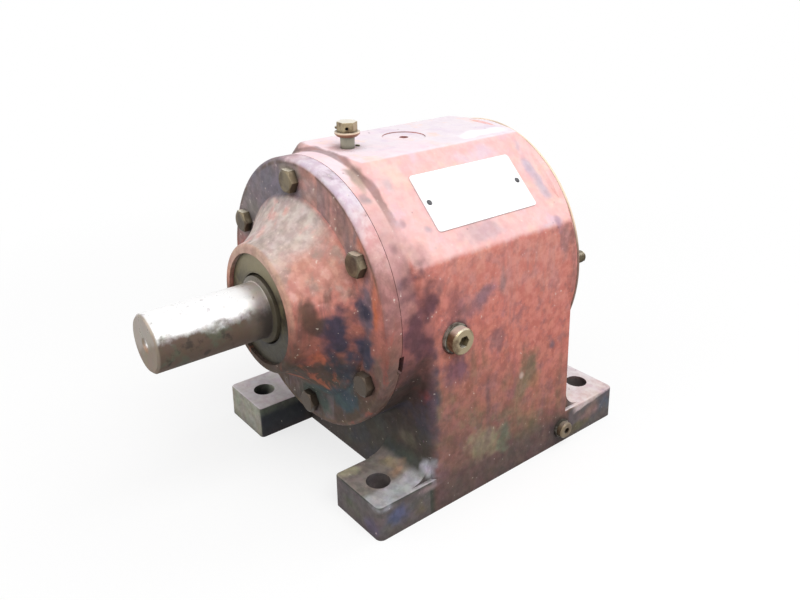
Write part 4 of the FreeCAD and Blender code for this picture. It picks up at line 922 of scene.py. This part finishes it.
pinShape = {"segments": 20, "lift": 0.5, "bevel": 0.3}       # lift and bevel in radii
breatherPins = {
    "collarPin": {"from": (-0.0065, -0.0880, 0.3207), "length": 0.0058, "radius": 0.0013, "turn": 200.0},
    "topPeg": {"from": (-0.0010, -0.0765, 0.3048), "length": 0.0036, "radius": 0.0012, "turn": 30.0},
}


def makeBreatherPins(pins, shape):                 # small peg at the collar and another on the top beside the stem
    bm = bmesh.new()
    for pin in pins.values():
        turn = math.radians(pin["turn"])
        out = Vector((math.cos(turn), math.sin(turn), 0.0))
        tilt = out.to_track_quat("Z", "Y").to_matrix().to_4x4()
        middle = Vector(pin["from"]) + out * pin["length"] / 2 + Vector((0, 0, pin["radius"] * shape["lift"]))
        made = bmesh.ops.create_cone(bm, cap_ends=True, segments=shape["segments"], radius1=pin["radius"],
                                     radius2=pin["radius"], depth=pin["length"],
                                     matrix=Matrix.Translation(middle) @ tilt)
        rims = [edge for edge in {edge for vert in made["verts"] for edge in vert.link_edges}
                if any(len(face.verts) > 4 for face in edge.link_faces)]
        bmesh.ops.bevel(bm, geom=rims, offset=pin["radius"] * shape["bevel"], affect="EDGES", segments=2,
                        profile=0.5, material=-1)
    keepPiece("breather_pins", bm, boltSteel, "casing", smooth=False)


makeStuds(studs)
makeBreatherPins(breatherPins, pinShape)
print("pieces made")


# floor and light
stageLook = {
    "floorHalf": 8.0,
    "shadowShare": 0.25,
    "shadowReach": (0.95, 0.4),
    "bounce": tint(0.62, 0.61, 0.60),
    "seen": (0.95, 0.95, 0.95),
    "backdrop": (1.0, 1.0, 1.0),
    "skyStrength": 0.45,
}
lampAim = (0, -0.05, 0.15)
lamps = {
    "key": {"place": (1.1, -0.2, 1.7), "size": 1.5, "power": 26.0},
    "fill": {"place": (-0.6, -1.8, 0.9), "size": 1.6, "power": 12.0},
    "back": {"place": (0.2, 1.7, 1.4), "size": 1.4, "power": 10.0},
}


def makeFloor(look):
    bm = bmesh.new()
    bmesh.ops.create_grid(bm, x_segments=1, y_segments=1, size=look["floorHalf"])
    mesh = bpy.data.meshes.new("floor")
    bm.to_mesh(mesh)
    bm.free()
    floor = bpy.data.objects.new("floor", mesh)
    scene.collection.objects.link(floor)
    finish = Finish("pale floor", {"Roughness": 0.9, "Specular IOR Level": 0.1})
    camera, glossy, through = finish.seenRays()
    finish.paint(finish.mix(look["bounce"], look["seen"], camera))
    away = (finish.x * finish.x + finish.y * finish.y) ** 0.5
    shadow = finish.step(away, *look["shadowReach"]) * look["shadowShare"]
    white = finish.node("Emission", sockets={"Color": look["backdrop"], "Strength": 1.0})
    both = finish.node("MixShader", sockets={0: (camera + glossy + through) * (1 - shadow),
                                             1: Wire(finish, finish.shader.outputs[0]), 2: white})
    finish.plug(finish.tree.nodes["Material Output"].inputs["Surface"], both)
    mesh.materials.append(finish.material)


def makeLamps(rigs, aim):
    for name, look in rigs.items():
        lamp = bpy.data.lights.new(name, "AREA")
        lamp.energy = look["power"]
        lamp.size = look["size"]
        rig = bpy.data.objects.new(name, lamp)
        scene.collection.objects.link(rig)
        rig.location = look["place"]
        rig.rotation_mode = "QUATERNION"
        rig.rotation_quaternion = (Vector(aim) - rig.location).to_track_quat("-Z", "Y")


def makeWorld(look):
    world = bpy.data.worlds.new("studio")
    scene.world = world
    world.use_nodes = True
    sky = Wiring(world.node_tree)
    soft = sky.node("Background", sockets={"Color": look["backdrop"], "Strength": look["skyStrength"]})
    bright = sky.node("Background", sockets={"Color": look["backdrop"], "Strength": 1.0})
    camera, glossy, through = sky.seenRays()
    both = sky.node("MixShader", sockets={0: camera + glossy + through, 1: soft, 2: bright})
    sky.plug(sky.tree.nodes["World Output"].inputs["Surface"], both)


makeFloor(stageLook)
makeLamps(lamps, lampAim)
makeWorld(stageLook)
print("stage lit")
